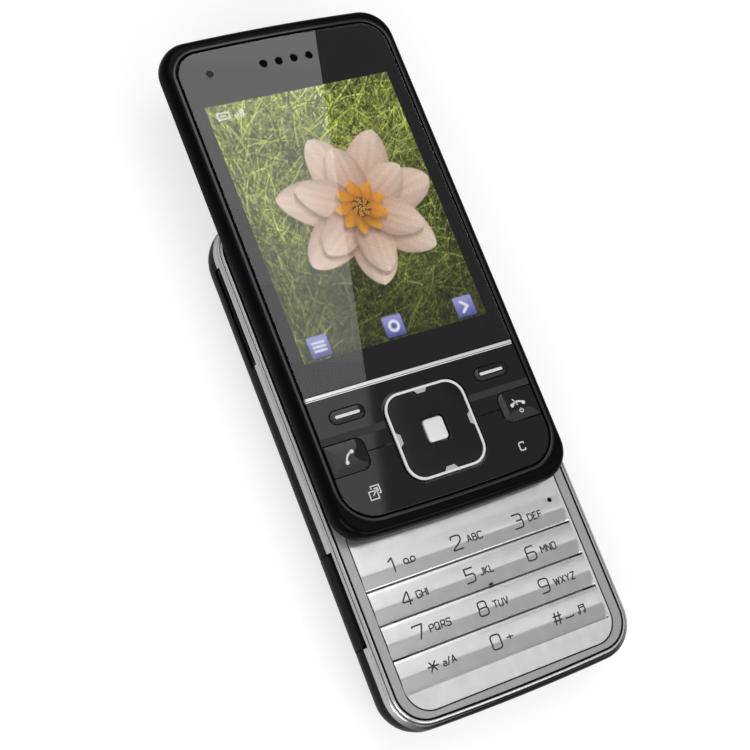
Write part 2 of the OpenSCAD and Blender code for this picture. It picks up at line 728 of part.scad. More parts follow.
back_shell();
battery_cover();
battery();
battery_contacts();
sim_holder();
main_board();
shield_cans();
card_reader();
connector_port();
loudspeaker();
speaker_grille();
vibration_motor();
camera_module();
camera_window();
flash_led();
antenna_carrier();
microphone();
side_switch_board();
keypad_board();
keypad_dome_sheet();
keypad_panel();
front_cover();
side_frame();
slide_carriage();
base_screws();
lens_cover();
card_cover();
camera_key();
zoom_key();
key_row(0);  // key_row_1
key_row(1);  // key_row_2
key_row(2);  // key_row_3
key_row(3);  // key_row_4
slider_front_housing();
slider_back_cover();
rail_plate();
slider_screws();
front_window();
window_gasket();
display_panel();
backlight();
display_frame();
earpiece_speaker();
earpiece_mesh();
light_sensor();
trim_bar();
upper_key_plate();
function_dome_sheet();
slider_board();
lower_key_plate();
soft_key_left();
soft_key_right();
call_key();
end_key();
nav_support();
nav_key();
nav_ring();
select_key();
assist_springs();
flex_cable();
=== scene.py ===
import bmesh
import bpy
import json
import math
from math import cos, pi, radians, sin, sqrt
import random
import numpy as np
from mathutils import Matrix, Vector

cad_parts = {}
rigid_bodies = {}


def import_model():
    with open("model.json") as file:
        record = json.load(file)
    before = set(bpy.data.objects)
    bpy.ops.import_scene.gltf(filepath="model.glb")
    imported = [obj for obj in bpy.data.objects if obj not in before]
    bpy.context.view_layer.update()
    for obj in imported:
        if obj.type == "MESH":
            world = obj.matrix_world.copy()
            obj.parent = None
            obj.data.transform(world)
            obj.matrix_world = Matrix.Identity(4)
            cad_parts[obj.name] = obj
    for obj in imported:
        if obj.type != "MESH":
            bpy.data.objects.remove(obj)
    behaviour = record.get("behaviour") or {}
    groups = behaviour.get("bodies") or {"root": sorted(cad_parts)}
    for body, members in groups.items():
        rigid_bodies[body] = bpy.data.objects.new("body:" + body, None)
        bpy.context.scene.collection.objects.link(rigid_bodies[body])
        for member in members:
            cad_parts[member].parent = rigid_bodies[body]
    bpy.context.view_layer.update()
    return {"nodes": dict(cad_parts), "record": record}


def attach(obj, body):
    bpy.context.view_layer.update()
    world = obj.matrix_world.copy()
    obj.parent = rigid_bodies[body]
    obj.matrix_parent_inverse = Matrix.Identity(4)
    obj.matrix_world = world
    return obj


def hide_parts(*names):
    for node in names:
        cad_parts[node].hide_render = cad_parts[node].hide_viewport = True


for left_over in list(bpy.data.objects):
    bpy.data.objects.remove(left_over, do_unlink=True)
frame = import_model()

MM = 0.001  # sizes below are in millimetres, as in the CAD source
BOW = 480.0  # radius of the gently bowed ends
OPEN = 33.0  # the display half is drawn this far up
PLAY = 0.15  # gap round the small keys and the card cover
ACROSS = (-30, 30)  # wider than the phone, for cuts right across it
SIDES = (-1, 1)  # left and right


# ---------- meshes

PIECES = []  # every piece made here, for even shading at the end


def put(name, data):
    """A new object in the scene."""
    obj = bpy.data.objects.new(name, data)
    bpy.context.scene.collection.objects.link(obj)
    return obj


def solid(name, verts, faces):
    """A new object whose mesh has its points in mm."""
    mesh = bpy.data.meshes.new(name)
    mesh.from_pydata([Vector(v) * MM for v in verts], [], faces)
    return put(name, mesh)


def piece(name, verts, faces, look, body, slot, replaces=(), sharp=38):
    """A mesh of points in mm, smooth but for edges sharper than an angle, that rides on a body."""
    obj = solid(name, verts, faces)
    obj.data.validate()
    obj.data.update()
    fix_normals(obj)
    smooth(obj, sharp)
    obj.data.materials.append(M[look])
    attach(obj, body)
    if replaces:
        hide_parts(*replaces)
    PIECES.append(obj)
    return obj


def even_shading():
    """Large faces give each piece its normals, so that flat stretches stay flat up to their bevels."""
    for obj in PIECES:
        step = obj.modifiers.new("even", "WEIGHTED_NORMAL")
        step.keep_sharp = True
        step.weight = 100


def fix_normals(obj):
    bm = bmesh.new()
    bm.from_mesh(obj.data)
    bmesh.ops.remove_doubles(bm, verts=bm.verts, dist=1e-7)
    bmesh.ops.recalc_face_normals(bm, faces=bm.faces)
    bm.to_mesh(obj.data)
    bm.free()


def smooth(obj, sharp=38):
    for polygon in obj.data.polygons:
        polygon.use_smooth = True
    obj.data.set_sharp_from_angle(angle=radians(sharp))


def sweep(x, y, r, start, turn, count):
    """Points along an arc, without its far end."""
    return [(x + r * cos(start + turn * i / count), y + r * sin(start + turn * i / count))
            for i in range(count)]


def outline(half_w, low, high, r_low, r_high, bow):
    """Closed outline seen from the front, anticlockwise from the foot of its right side."""
    arc, end, side = 10, 8, 8  # steps round a corner, along an end and a side

    def corner(edge, r, way):
        apex = edge - way * bow
        cx = half_w - r
        cy = apex + way * sqrt((bow - r) ** 2 - cx ** 2)
        return cx, cy, apex, math.atan2(abs(cy - apex), cx)

    cx1, cy1, apex1, turn1 = corner(high, r_high, 1)
    cx0, cy0, apex0, turn0 = corner(low, r_low, -1)
    points = [(half_w, cy0 + (cy1 - cy0) * i / side) for i in range(side)]
    points += sweep(cx1, cy1, r_high, 0, turn1, arc)
    points += sweep(0, apex1, bow, turn1, pi - 2 * turn1, end)
    points += sweep(-cx1, cy1, r_high, pi - turn1, turn1, arc)
    points += [(-half_w, cy1 + (cy0 - cy1) * i / side) for i in range(side)]
    points += sweep(-cx0, cy0, r_low, pi, turn0, arc)
    points += sweep(0, apex0, bow, pi + turn0, pi - 2 * turn0, end)
    points += sweep(cx0, cy0, r_low, 2 * pi - turn0, turn0, arc)
    return points


def ring(shape, inset, z, shift=0.0):
    """The outline of a shape (half width, low, high, lower and upper radius) drawn in by inset."""
    half_w, low, high, r_low, r_high = shape
    r_low, r_high = max(r_low - inset, 0.02), max(r_high - inset, 0.02)
    points = outline(half_w - inset, low + inset, high - inset, r_low, r_high, BOW - inset)
    return [(x, y + shift, z) for x, y in points]


def loft(rings, closed=False):
    """Vertices and faces of a skin over rings of points; closed joins the last to the first."""
    n = len(rings[0])
    verts = [p for r in rings for p in r]
    faces = []
    for i in range(len(rings) if closed else len(rings) - 1):
        a, b = i * n, (i + 1) % len(rings) * n
        faces += [(a + j, a + (j + 1) % n, b + (j + 1) % n, b + j) for j in range(n)]
    if not closed:
        faces += [tuple(reversed(range(n))), tuple(range(len(verts) - n, len(verts)))]
    return verts, faces


def skin(shape, steps, shift=0.0, closed=False):
    """A skin over a shape's outlines, each at an inset and a height."""
    return loft([ring(shape, d, z, shift) for d, z in steps], closed)


def join(parts):
    """One list of vertices and faces from several."""
    verts, faces = [], []
    for v, f in parts:
        faces += [tuple(i + len(verts) for i in face) for face in f]
        verts += v
    return verts, faces


def block(x, y, z):
    verts = [(a, b, c) for c in z for b in y for a in x]
    faces = [(0, 2, 3, 1), (4, 5, 7, 6), (0, 1, 5, 4), (2, 6, 7, 3), (0, 4, 6, 2), (1, 3, 7, 5)]
    return verts, faces


def round_ring(x, y, r, z, count):
    return [(a, b, z) for a, b in sweep(x, y, r, 0, 2 * pi, count)]


def cylinder(x, y, r, z, count=32):
    return loft([round_ring(x, y, r, h, count) for h in z])


def turned(part, way):
    """A part with each of its points put through a function."""
    verts, faces = part
    return [way(*p) for p in verts], faces


def rect_ring(x, y, radii, inset, z, shift=0.0):
    """A rounded rectangle drawn in by inset; it has one radius, or four at NE, NW, SW and SE."""
    arc, points = 8, []
    for k, radius in enumerate(radii if isinstance(radii, tuple) else (radii,) * 4):
        r = max(radius - inset, 0.03)
        cx = x[1] - inset - r if k in (0, 3) else x[0] + inset + r
        cy = y[1] - inset - r if k < 2 else y[0] + inset + r
        turns = [radians(90 * k + 90 * i / arc) for i in range(arc + 1)]
        points += [(cx + r * cos(a), cy + r * sin(a) + shift, z) for a in turns]
    return points


def rect_skin(box, steps, shift=0.0, closed=False):
    """A skin over a box's rounded rectangles, each at an inset and a height."""
    return loft([rect_ring(*box, d, z, shift) for d, z in steps], closed)


def rect_solid(x, y, radii, z, grow=0.0, shift=0.0):
    return rect_skin((x, y, radii), [(-grow, h) for h in z], shift)


def crowned(x, y, radii, z, rise, edge, shift=0.0):
    """A key: straight sides, a small rounded edge, and a top that swells towards its middle."""
    reach = min(x[1] - x[0], y[1] - y[0]) / 2 * 0.92
    steps = [(0, z[0]), (0, z[1] - edge)]
    steps += [(edge * (1 - cos(radians(a))), z[1] - edge + edge * sin(radians(a)))
              for a in (30, 60, 90)]
    steps += [(edge + (reach - edge) * t, z[1] + rise * (1 - (1 - t) ** 2)) for t in (0.25, 0.5, 0.75, 1)]
    return rect_skin((x, y, radii), steps, shift)


def shaped(obj, step):
    """Applies a modifier to its object."""
    graph = bpy.context.evaluated_depsgraph_get()
    obj.data = bpy.data.meshes.new_from_object(obj.evaluated_get(graph))
    obj.modifiers.remove(step)


def cut(obj, *cutters, operation="DIFFERENCE"):
    """Takes the cutters' solids out of a piece, or keeps what lies in them."""
    for cutter in cutters:
        tool = solid("cutter", *cutter)
        fix_normals(tool)
        step = obj.modifiers.new("cut", "BOOLEAN")
        step.operation = operation
        step.solver = "EXACT"
        step.object = tool
        name = obj.data.name
        shaped(obj, step)
        obj.data.name = name
        bpy.data.objects.remove(tool, do_unlink=True)
    smooth(obj)
    return obj


def bevelled(obj, width):
    step = obj.modifiers.new("edge", "BEVEL")
    step.width = width * MM
    step.segments = 2
    step.limit_method = "ANGLE"
    step.angle_limit = radians(40)
    shaped(obj, step)
    smooth(obj)
    return obj


# ---------- materials

M = {}  # every material by its name


def new_material(name):
    """A material's nodes and its main shader."""
    M[name] = bpy.data.materials.new(name)
    M[name].use_nodes = True
    nt = M[name].node_tree
    return nt, nt.nodes["Principled BSDF"]


def fill(nt, node, inputs):
    """Gives a node's inputs their values, or links them to the sockets of other nodes."""
    for key, value in inputs.items():
        if isinstance(value, bpy.types.NodeSocket):
            nt.links.new(value, node.inputs[key])
        else:
            node.inputs[key].default_value = value


def new_node(nt, kind, inputs, **settings):
    """A node with its settings and inputs; what comes back are its outputs."""
    node = nt.nodes.new("ShaderNode" + kind)
    for key, value in settings.items():
        setattr(node, key, value)
    fill(nt, node, inputs)
    return node.outputs


def coordinates(nt, stretch=(1, 1, 1)):
    place = new_node(nt, "TexCoord", {})
    return new_node(nt, "Mapping", {"Scale": stretch, "Vector": place["Object"]})["Vector"]


def noise(nt, grains_per_mm, detail, stretch=(1, 1, 1)):
    return new_node(nt, "TexNoise", {
        "Scale": grains_per_mm / MM, "Detail": detail, "Vector": coordinates(nt, stretch)})["Fac"]


def ranged(nt, source, low=0, high=1, start=0.3, stop=0.7):
    return new_node(nt, "MapRange", {
        "From Min": start, "From Max": stop, "To Min": low, "To Max": high, "Value": source})["Result"]


def mixed(nt, factor, a, b, blend="MIX"):
    """A colour from two colours or sockets."""
    inputs = {"Factor": factor, "A": a, "B": b}
    return new_node(nt, "Mix", inputs, data_type="RGBA", blend_type=blend)["Result"]


def material(name, color, rough, metallic=0.0, vary=0.12, rough_vary=0.04, cloud=0.15,
             grain=12.0, bump=0.05, stretch=(1, 1, 1), flakes=0.0, ior=1.5):
    """Principled material with clouded colour, uneven gloss and a fine moulded or sprayed grain."""
    nt, shader = new_material(name)
    dark, light = [[min(1, c * (1 + way * vary)) for c in color] + [1] for way in (-1, 1)]
    shade = mixed(nt, ranged(nt, noise(nt, cloud, 4)), dark, light)
    if flakes:
        cells = new_node(nt, "TexVoronoi", {"Scale": grain / MM, "Vector": coordinates(nt)})
        grey = new_node(nt, "RGBToBW", {"Color": cells["Color"]})
        shade = mixed(nt, flakes, shade, grey["Val"], "SOFT_LIGHT")
    smudge = noise(nt, cloud * 3, 5, (1, 0.6, 1))
    gloss = ranged(nt, smudge, max(0.02, rough - rough_vary), rough + rough_vary)
    height = noise(nt, grain, 2, stretch)
    relief = new_node(nt, "Bump", {"Strength": bump, "Distance": 0.05 * MM, "Height": height})
    fill(nt, shader, {"Base Color": shade, "Metallic": metallic, "IOR": ior, "Roughness": gloss,
                      "Normal": relief["Normal"]})
    return nt, shader


def side_silver_material():
    """The rim's side: satin silver that darkens to gloss black round the lower end."""
    nt, shader = material("side_silver", (0.84, 0.85, 0.86), 0.2, 0.72, vary=0.02, grain=10,
                          bump=0.02, flakes=0.08)
    place = new_node(nt, "TexCoord", {})
    axes = new_node(nt, "SeparateXYZ", {"Vector": place["Object"]})
    silver = shader.inputs["Base Color"].links[0].from_socket
    fade = ranged(nt, axes["Y"], 0, 1, -47.4 * MM, -42.6 * MM)
    fill(nt, shader, {"Base Color": mixed(nt, fade, (0.004, 0.004, 0.005, 1), silver)})


def glass_material():
    nt, shader = new_material("window_glass_clear")
    gloss = ranged(nt, noise(nt, 0.05, 5), 0.0, 0.008)
    fill(nt, shader, {"Base Color": (0.97, 0.98, 0.98, 1), "Transmission Weight": 1.0, "IOR": 1.62,
                      "Roughness": gloss})


def picture_material():
    """The lit picture: its colours are the mesh's own, a little uneven from place to place."""
    nt, shader = new_material("display_picture")
    paint = new_node(nt, "VertexColor", {}, layer_name="paint")
    dim = mixed(nt, ranged(nt, noise(nt, 3.0, 2)), (0.82, 0.82, 0.82, 1), (1, 1, 1, 1))
    lit = mixed(nt, 1.0, paint["Color"], dim, "MULTIPLY")
    fill(nt, shader, {"Emission Color": lit, "Emission Strength": 1.0, "Roughness": 0.5, "IOR": 1.0,
                      "Base Color": (0.004, 0.004, 0.004, 1)})


material("gloss_black", (0.004, 0.004, 0.005), 0.12, rough_vary=0.03, grain=3, bump=0.03, ior=1.13)
material("rim_black", (0.003, 0.003, 0.004), 0.16, grain=4, bump=0.03, ior=1.14)
# a lighter copy of the rim's black, for the flat lip round the front plate: painted sheen
material("lip_grey", (0.016, 0.016, 0.017), 0.12, rough_vary=0.03, grain=6, bump=0.02)
material("print_black", (0.011, 0.011, 0.012), 0.4, grain=14, bump=0.02, ior=1.0)
material("dot_black", (0.035, 0.035, 0.036), 0.3, grain=14, bump=0.03, ior=1.2)
material("key_black", (0.009, 0.009, 0.0095), 0.03, rough_vary=0.012, grain=8, bump=0.008, ior=1.48)
material("nav_black", (0.012, 0.012, 0.013), 0.2, grain=8, bump=0.04, ior=1.3)
material("satin_silver", (0.83, 0.833, 0.845), 0.22, 0.84, vary=0.025, grain=7, bump=0.07,
         stretch=(0.07, 1, 1))
material("frame_silver", (0.84, 0.85, 0.85), 0.2, 0.72, vary=0.02, grain=10, bump=0.02, flakes=0.08)
material("ring_grey", (0.5, 0.505, 0.52), 0.34, 0.5, vary=0.03, flakes=0.15)
material("chrome", (0.95, 0.95, 0.95), 0.14, 0.25, vary=0.01, rough_vary=0.03, grain=5, bump=0.01)
material("ring_white", (0.96, 0.96, 0.96), 0.25, 0.05, vary=0.01, grain=9, bump=0.02)
material("select_silver", (0.96, 0.96, 0.955), 0.4, vary=0.015, grain=10, bump=0.02, flakes=0.05)
material("notch_grey", (0.56, 0.56, 0.56), 0.3, 0.2, vary=0.03, grain=10, bump=0.03)
material("ink_dark", (0.035, 0.037, 0.04), 0.45, vary=0.15, grain=20)
material("ink_white", (0.88, 0.88, 0.88), 0.4, vary=0.05, grain=20)
material("brushed", (0.55, 0.55, 0.56), 0.28, 1.0, vary=0.06, grain=8, bump=0.12,
         stretch=(0.05, 1, 1))
material("steel", (0.5, 0.5, 0.5), 0.3, 1.0, vary=0.08, grain=6, bump=0.1, stretch=(1, 0.06, 1))
material("screw", (0.38, 0.38, 0.39), 0.3, 1.0, vary=0.1, grain=15, bump=0.1)
material("gold", (0.75, 0.52, 0.2), 0.25, 1.0, vary=0.1)
material("board", (0.02, 0.13, 0.06), 0.35, vary=0.2, cloud=1.2, grain=4, bump=0.1)
material("black_plastic", (0.02, 0.02, 0.021), 0.5, vary=0.15, grain=9, bump=0.2)
material("lens_glass", (0.01, 0.012, 0.016), 0.05, vary=0.2, grain=2, bump=0.01)
material("battery_wrap", (0.05, 0.05, 0.055), 0.4, vary=0.1, grain=6, bump=0.08)
material("film", (0.75, 0.75, 0.72), 0.4, vary=0.05, grain=5, bump=0.08)
material("amber", (0.45, 0.2, 0.04), 0.35, vary=0.15, grain=1.2, stretch=(8, 0.1, 1))
side_silver_material()
glass_material()
picture_material()

BY_SLOT = {  # the slots whose material has another name
    "shell_gloss_black": "gloss_black", "plate_black": "key_black", "window_glass": "window_glass_clear",
    "screen": "black_plastic", "bright_trim": "chrome", "brushed_metal": "brushed", "screw_steel": "screw",
    "contact_gold": "gold", "board_green": "board", "part_black": "black_plastic",
    "battery_label": "battery_wrap", "film_white": "film", "mic_can": "steel", "flex_amber": "amber",
}
OWN_LOOK = {"window_gasket": "gloss_black", "display_frame": "steel", "battery_contacts": "gold",
            "earpiece_mesh": "print_black"}

for entry in frame["record"]["subparts"]:
    part, slot = frame["nodes"][entry["node"]], entry["material_slot"]
    part.data.materials.clear()
    part.data.materials.append(M[OWN_LOOK.get(entry["node"], BY_SLOT.get(slot, slot))])


# ---------- printed marks

# Each letter's strokes, with a bar between them: places across and up, in hundredths of its height.
GLYPHS = {
    "0": "0,0 60,0 60,100 0,100 0,0", "1": "8,78 36,100 36,0", "2": "0,76 0,100 60,100 60,58 2,10 0,0 64,0",
    "3": "0,100 58,100 58,53 18,53|40,53 60,53 60,0 0,0", "4": "50,0 50,100 0,26 68,26",
    "5": "60,100 0,100|5,100 5,57|0,57 60,57 60,0 0,0", "6": "55,100 0,100 0,0 60,0 60,56 0,56",
    "7": "0,90 0,100 62,100 30,0", "8": "0,54 0,0 60,0 60,54 0,54|4,54 4,100 56,100 56,54",
    "9": "5,0 60,0 60,100 0,100 0,45 60,45", "*": "0,50 72,50|16,16 56,84|56,16 16,84",
    "#": "16,0 26,100|50,0 60,100|0,32 74,32|3,68 77,68", "+": "0,42 52,42|26,16 26,68", "/": "0,-8 34,108",
    "a": "0,62 38,62 38,0|38,34 0,34 0,0 38,0", "A": "0,0 27,100 54,0|10,32 44,32",
    "B": "44,53 44,100 0,100 0,0 50,0 50,53 0,53", "C": "52,78 52,100 0,100 0,0 52,0 52,22",
    "D": "0,0 30,0 54,20 54,80 30,100 0,100 0,0", "E": "48,100 0,100 0,0 48,0|0,53 42,53",
    "F": "48,100 0,100 0,0|0,53 42,53", "G": "52,78 52,100 0,100 0,0 52,0 52,46 28,46",
    "H": "0,0 0,100|50,0 50,100|0,53 50,53", "I": "0,0 0,100", "J": "38,100 38,0 0,0 0,20",
    "K": "0,0 0,100|48,100 2,48 50,0", "L": "0,100 0,0 44,0", "M": "0,0 0,100 30,40 60,100 60,0",
    "N": "0,0 0,100 50,0 50,100", "O": "0,0 52,0 52,100 0,100 0,0", "P": "0,0 0,100 50,100 50,46 0,46",
    "Q": "0,0 52,0 52,100 0,100 0,0|34,24 60,-6", "R": "0,0 0,100 50,100 50,46 0,46|22,46 52,0",
    "S": "50,80 50,100 0,100 0,53 50,53 50,0 0,0 0,20", "T": "0,100 54,100|27,100 27,0",
    "U": "0,100 0,0 50,0 50,100", "V": "0,100 27,0 54,100", "W": "0,100 17,0 36,80 55,0 72,100",
    "X": "0,0 50,100|0,100 50,0", "Y": "0,100 26,48 52,100|26,48 26,0", "Z": "0,100 50,100 0,0 52,0",
    "~": "0,16 0,0 70,0 70,16",
}
SQUARE = "468905OQCGSUJ2BPR3a"  # glyphs whose bends are rounded


def strokes(letter):
    return [[tuple(int(v) / 100 for v in place.split(",")) for place in stroke.split()]
            for stroke in GLYPHS[letter].split("|")]


def circle(x, y, r, start=0, turn=360, count=18):
    return [(x + r * cos(radians(start + turn * i / count)),
             y + r * sin(radians(start + turn * i / count))) for i in range(count + 1)]


def rounded_path(points, r):
    """A path with its bends rounded; a path that ends where it starts is rounded there too."""
    closed = points[0] == points[-1]
    inner = points[:-1] if closed else points
    out = []
    for i, p in enumerate(inner):
        if not closed and i in (0, len(inner) - 1):
            out.append(p)
            continue
        here, back, ahead = Vector(p), Vector(inner[i - 1]), Vector(inner[(i + 1) % len(inner)])
        a, b = back - here, ahead - here
        cut_back = min(r, a.length * 0.48, b.length * 0.48)
        start, end = here + a.normalized() * cut_back, here + b.normalized() * cut_back
        for k in range(5):
            t = k / 4
            out.append(tuple((1 - t) ** 2 * start + 2 * t * (1 - t) * here + t ** 2 * end))
    return out + [out[0]] if closed else out


def ribbon(path, width, height):
    """A thin printed stroke along a path, laid on a surface: its height, or a function of x and y."""
    sink, lift, longest = 0.04, 0.02, 0.3
    fine = [path[0]]
    for a, b in zip(path, path[1:]):
        parts = max(1, int(math.dist(a, b) / longest))
        fine += [(a[0] + (b[0] - a[0]) * i / parts, a[1] + (b[1] - a[1]) * i / parts)
                 for i in range(1, parts + 1)]
    closed = math.dist(fine[0], fine[-1]) < 1e-6
    if closed:
        fine = fine[:-1]
    n = len(fine)
    verts = []
    for i, p in enumerate(fine):
        back = Vector(fine[i - 1] if closed or i else fine[0])
        ahead = Vector(fine[(i + 1) % n] if closed or i < n - 1 else fine[-1])
        here = Vector(p)
        ways = [v.normalized() for v in (here - back, ahead - here) if v.length > 1e-9]
        way = (ways[0] + ways[-1]).normalized() if (ways[0] + ways[-1]).length > 1e-6 else ways[0]
        side = Vector((-way.y, way.x)) * (width / 2 / max(0.6, way.dot(ways[0])))
        for q in (here + side, here - side):
            z = height(q.x, q.y) if callable(height) else height
            verts += [(q.x, q.y, z + lift), (q.x, q.y, z - sink)]
    faces = []
    for i in range(n if closed else n - 1):
        a, b = 4 * i, 4 * ((i + 1) % n)
        faces += [(a, a + 2, b + 2, b), (a + 1, b + 1, b + 3, a + 3), (a, b, b + 1, a + 1),
                  (a + 2, a + 3, b + 3, b + 2)]
    if not closed:
        faces += [(0, 1, 3, 2), (4 * n - 4, 4 * n - 2, 4 * n - 1, 4 * n - 3)]
    return verts, faces


def written(text, x, y, size, width, height, spread=1.0, gap=0.24):
    """Strokes of a short word from its lower left corner; spread widens its letters."""
    parts = []
    for letter in text:
        paths = strokes(letter)
        wide = max(p[0] for path in paths for p in path)
        for path in paths:
            path = rounded_path(path, 0.2 if letter in SQUARE else 0.02)
            parts.append(ribbon([(x + a * size * spread, y + b * size) for a, b in path], width, height))
        x += (wide * spread + gap) * size
    return parts


# ---------- keypad half

BODY = (25, -48, 48, 7.2, 7.2)  # outline of the keypad half
FRAME_Z = 9.75
BACK_ROUND = (6.5, 8.0)
FLAP_Y = (-31.1, -14.3)
PORT_Y = (21, 39.5)
PORT_Z = (8.3, 10.4)
CAMERA_KEY_Y = (-31, -21.5)
ZOOM_KEY_Y = (22, 38)
SIDE_KEY_Z = (6.9, 8.9)


def back_inset(z):
    w, h = BACK_ROUND
    return 0 if z >= h else w * (1 - sqrt(1 - ((h - z) / h) ** 2))


def side_skin(top, *more):
    """The keypad half's outside from its back up to a height, and on through insets and heights."""
    heights = (0, 0.06, 0.2, 0.45, 0.8, 1.3, 2, 3, 4.2, 5.6, 7, 8, top)
    return skin(BODY, [(back_inset(z), z) for z in heights] + list(more))


def wider(span, play=PLAY):
    return (span[0] - play, span[1] + play)


def flap_gap():
    """The opening round the card cover, in the left side."""
    return block((ACROSS[0], -23.7 + PLAY), wider(FLAP_Y), wider((3.7, 10.75)))


def port_gap(z):
    return block((ACROSS[0], -20), wider(PORT_Y, 0.1), z)


def key_gap(y):
    return block((23, ACROSS[1]), wider(y), wider(SIDE_KEY_Z))


def back_shell():
    """The rear shell, hollow, with its openings for the battery, lens, loudspeaker, keys and port."""
    obj = piece("back_shell_smooth", *side_skin(FRAME_Z - 0.07), "gloss_black", "base",
                "shell_gloss_black", ["back_shell"])
    hollow = (rect_solid((-23.2, 23.2), (-46.2, 46.2), 5.4, (4, 12)),
              rect_solid((-20, 20), (-43, 16.7), 4, (1.2, 5)),
              rect_solid((-20, 20), (16.6, 43), 4, (1.85, 5)))  # over the lens cover's track
    battery_bay = rect_solid((-17.5, 17.5), (-41.2, 7.2), 2, (-1, 2))
    lens_track = (rect_solid((-15.7, 15.7), (17.3, 42.9), 1.5, (-1, 1.05)),
                  block((-16.9, 16.9), (18.8, 41.4), (0.5, 1.05)))  # its grooves
    camera_hole = rect_solid((-13.1, 13.1), (31, 41), 2, (-1, 2))
    speaker_slots = [block((8 + 2 * i, 9 + 2 * i), (11, 15.5), (-1, 1.3)) for i in range(5)]
    side_gaps = flap_gap(), port_gap((PORT_Z[0] - 0.1, 12)), key_gap(CAMERA_KEY_Y), key_gap(ZOOM_KEY_Y)
    cut(obj, *hollow, battery_bay, *lens_track, camera_hole, *speaker_slots, *side_gaps)


def side_frame():
    """Bright rim: an inner band, a fine groove, and a side that rounds over up to it; black strips deep in
    the groove and in the gap inside the band are painted shade.
    """
    outer = ((0, FRAME_Z), (0.02, 10.05), (0.08, 10.4), (0.2, 10.7), (0.38, 10.95), (0.58, 11.1),
             (0.7, 11.14), (0.75, 11.1), (0.78, 10.9), (0.78, FRAME_Z))
    inner = ((0.89, FRAME_Z), (0.89, 11.05), (0.92, 11.18), (0.99, 11.29), (1.09, 11.38), (1.22, 11.43),
             (1.32, 11.42), (1.37, 11.36), (1.38, 11.2), (1.38, FRAME_Z))
    gaps = flap_gap(), port_gap((FRAME_Z - 1, PORT_Z[1] + 0.1))
    for name, steps, look, gone in (("side_frame_smooth", outer, "side_silver", ["side_frame"]),
                                    ("side_frame_band", inner, "frame_silver", ())):
        cut(piece(name, *skin(BODY, steps, closed=True), look, "base", "satin_silver", gone), *gaps)
    # black strips deep in the groove and in the gap inside the band: painted shade that darkens them
    lines = [skin(BODY, ((low, 10.2), (low, top), (high, top), (high, 10.2)), closed=True)
             for low, high, top in ((0.775, 0.895, 10.88), (1.385, 1.76, 11.405))]
    piece("rim_groove_shade_strips", *join(lines), "print_black", "base", "part_black")


def card_cover():
    """The black tab, cut from the same rounded side as its neighbours, with a nick and its pin."""
    side = side_skin(FRAME_Z - 0.3, (0.0, FRAME_Z), (0.03, 10.1), (0.12, 10.45), (0.24, 10.75))
    obj = piece("card_cover_smooth", *side, "gloss_black", "card_cover", "shell_gloss_black",
                ["card_cover"])
    keep = rect_solid(FLAP_Y, (4.5, 10.74), (1.6, 1.6, 0.3, 0.3), (23.75, 26))
    cut(obj, turned(keep, lambda x, y, z: (-z, x, y)), operation="INTERSECT")
    nick, middle = cylinder(0, 0, 1.0, (25.05, 26)), sum(FLAP_Y) / 2
    cut(obj, turned(nick, lambda x, y, z: (-z, x + middle, y + 10.7)))
    pin = cylinder(-23.4, 4, 0.7, FLAP_Y, 20)
    piece("card_cover_pin", *turned(pin, lambda x, y, z: (x, z, y)), "black_plastic", "card_cover",
          "shell_gloss_black")


ROW_PITCH = 6.12
ROW_TOP = -16.6
ROW_X = (-21.36, 20.8)
ROW_HALF = ROW_PITCH / 2 - 0.14
ROW_PROFILE = (  # its section, from the lower edge over the top to the upper edge
    (-ROW_HALF, 10.3), (-ROW_HALF, 10.72), (-ROW_HALF + 0.1, 10.86), (-ROW_HALF + 0.45, 10.98),
    (-1.7, 11.13), (-1.0, 11.27), (-0.5, 11.36), (-0.2, 11.39), (0.15, 11.4), (1.2, 11.38),
    (2.2, 11.34), (ROW_HALF - 0.3, 11.3), (ROW_HALF - 0.08, 11.24), (ROW_HALF, 11.12), (ROW_HALF, 10.3))


def row_y(i):
    return ROW_TOP - (i + 0.5) * ROW_PITCH


def row_height(y):
    """Height of a row's top at a distance from its middle."""
    for (a, za), (b, zb) in zip(ROW_PROFILE[1:], ROW_PROFILE[2:]):
        if a <= y <= b and b > a:
            return za + (zb - za) * (y - a) / (b - a)
    return ROW_PROFILE[8][1]


KEY_WORDS = ("1 @ 2 ABC 3 DEF", "4 GHI 5 JKL 6 MNO", "7 PQRS 8 TUV 9 WXYZ", "* a/A 0 + # ~")
DIGIT_X = (-15.95, -2.9, 10.05)  # left edge of each column's digits
DIGIT_SIZE = 2.5
DIGIT_SPREAD = 1.25
WORD_X = 3.1  # from a digit's left edge to its letters
LETTER_SIZE = 1.24
LETTER_SPREAD = 1.25
MIC_HOLE = (18.7, -17.9, 0.45)


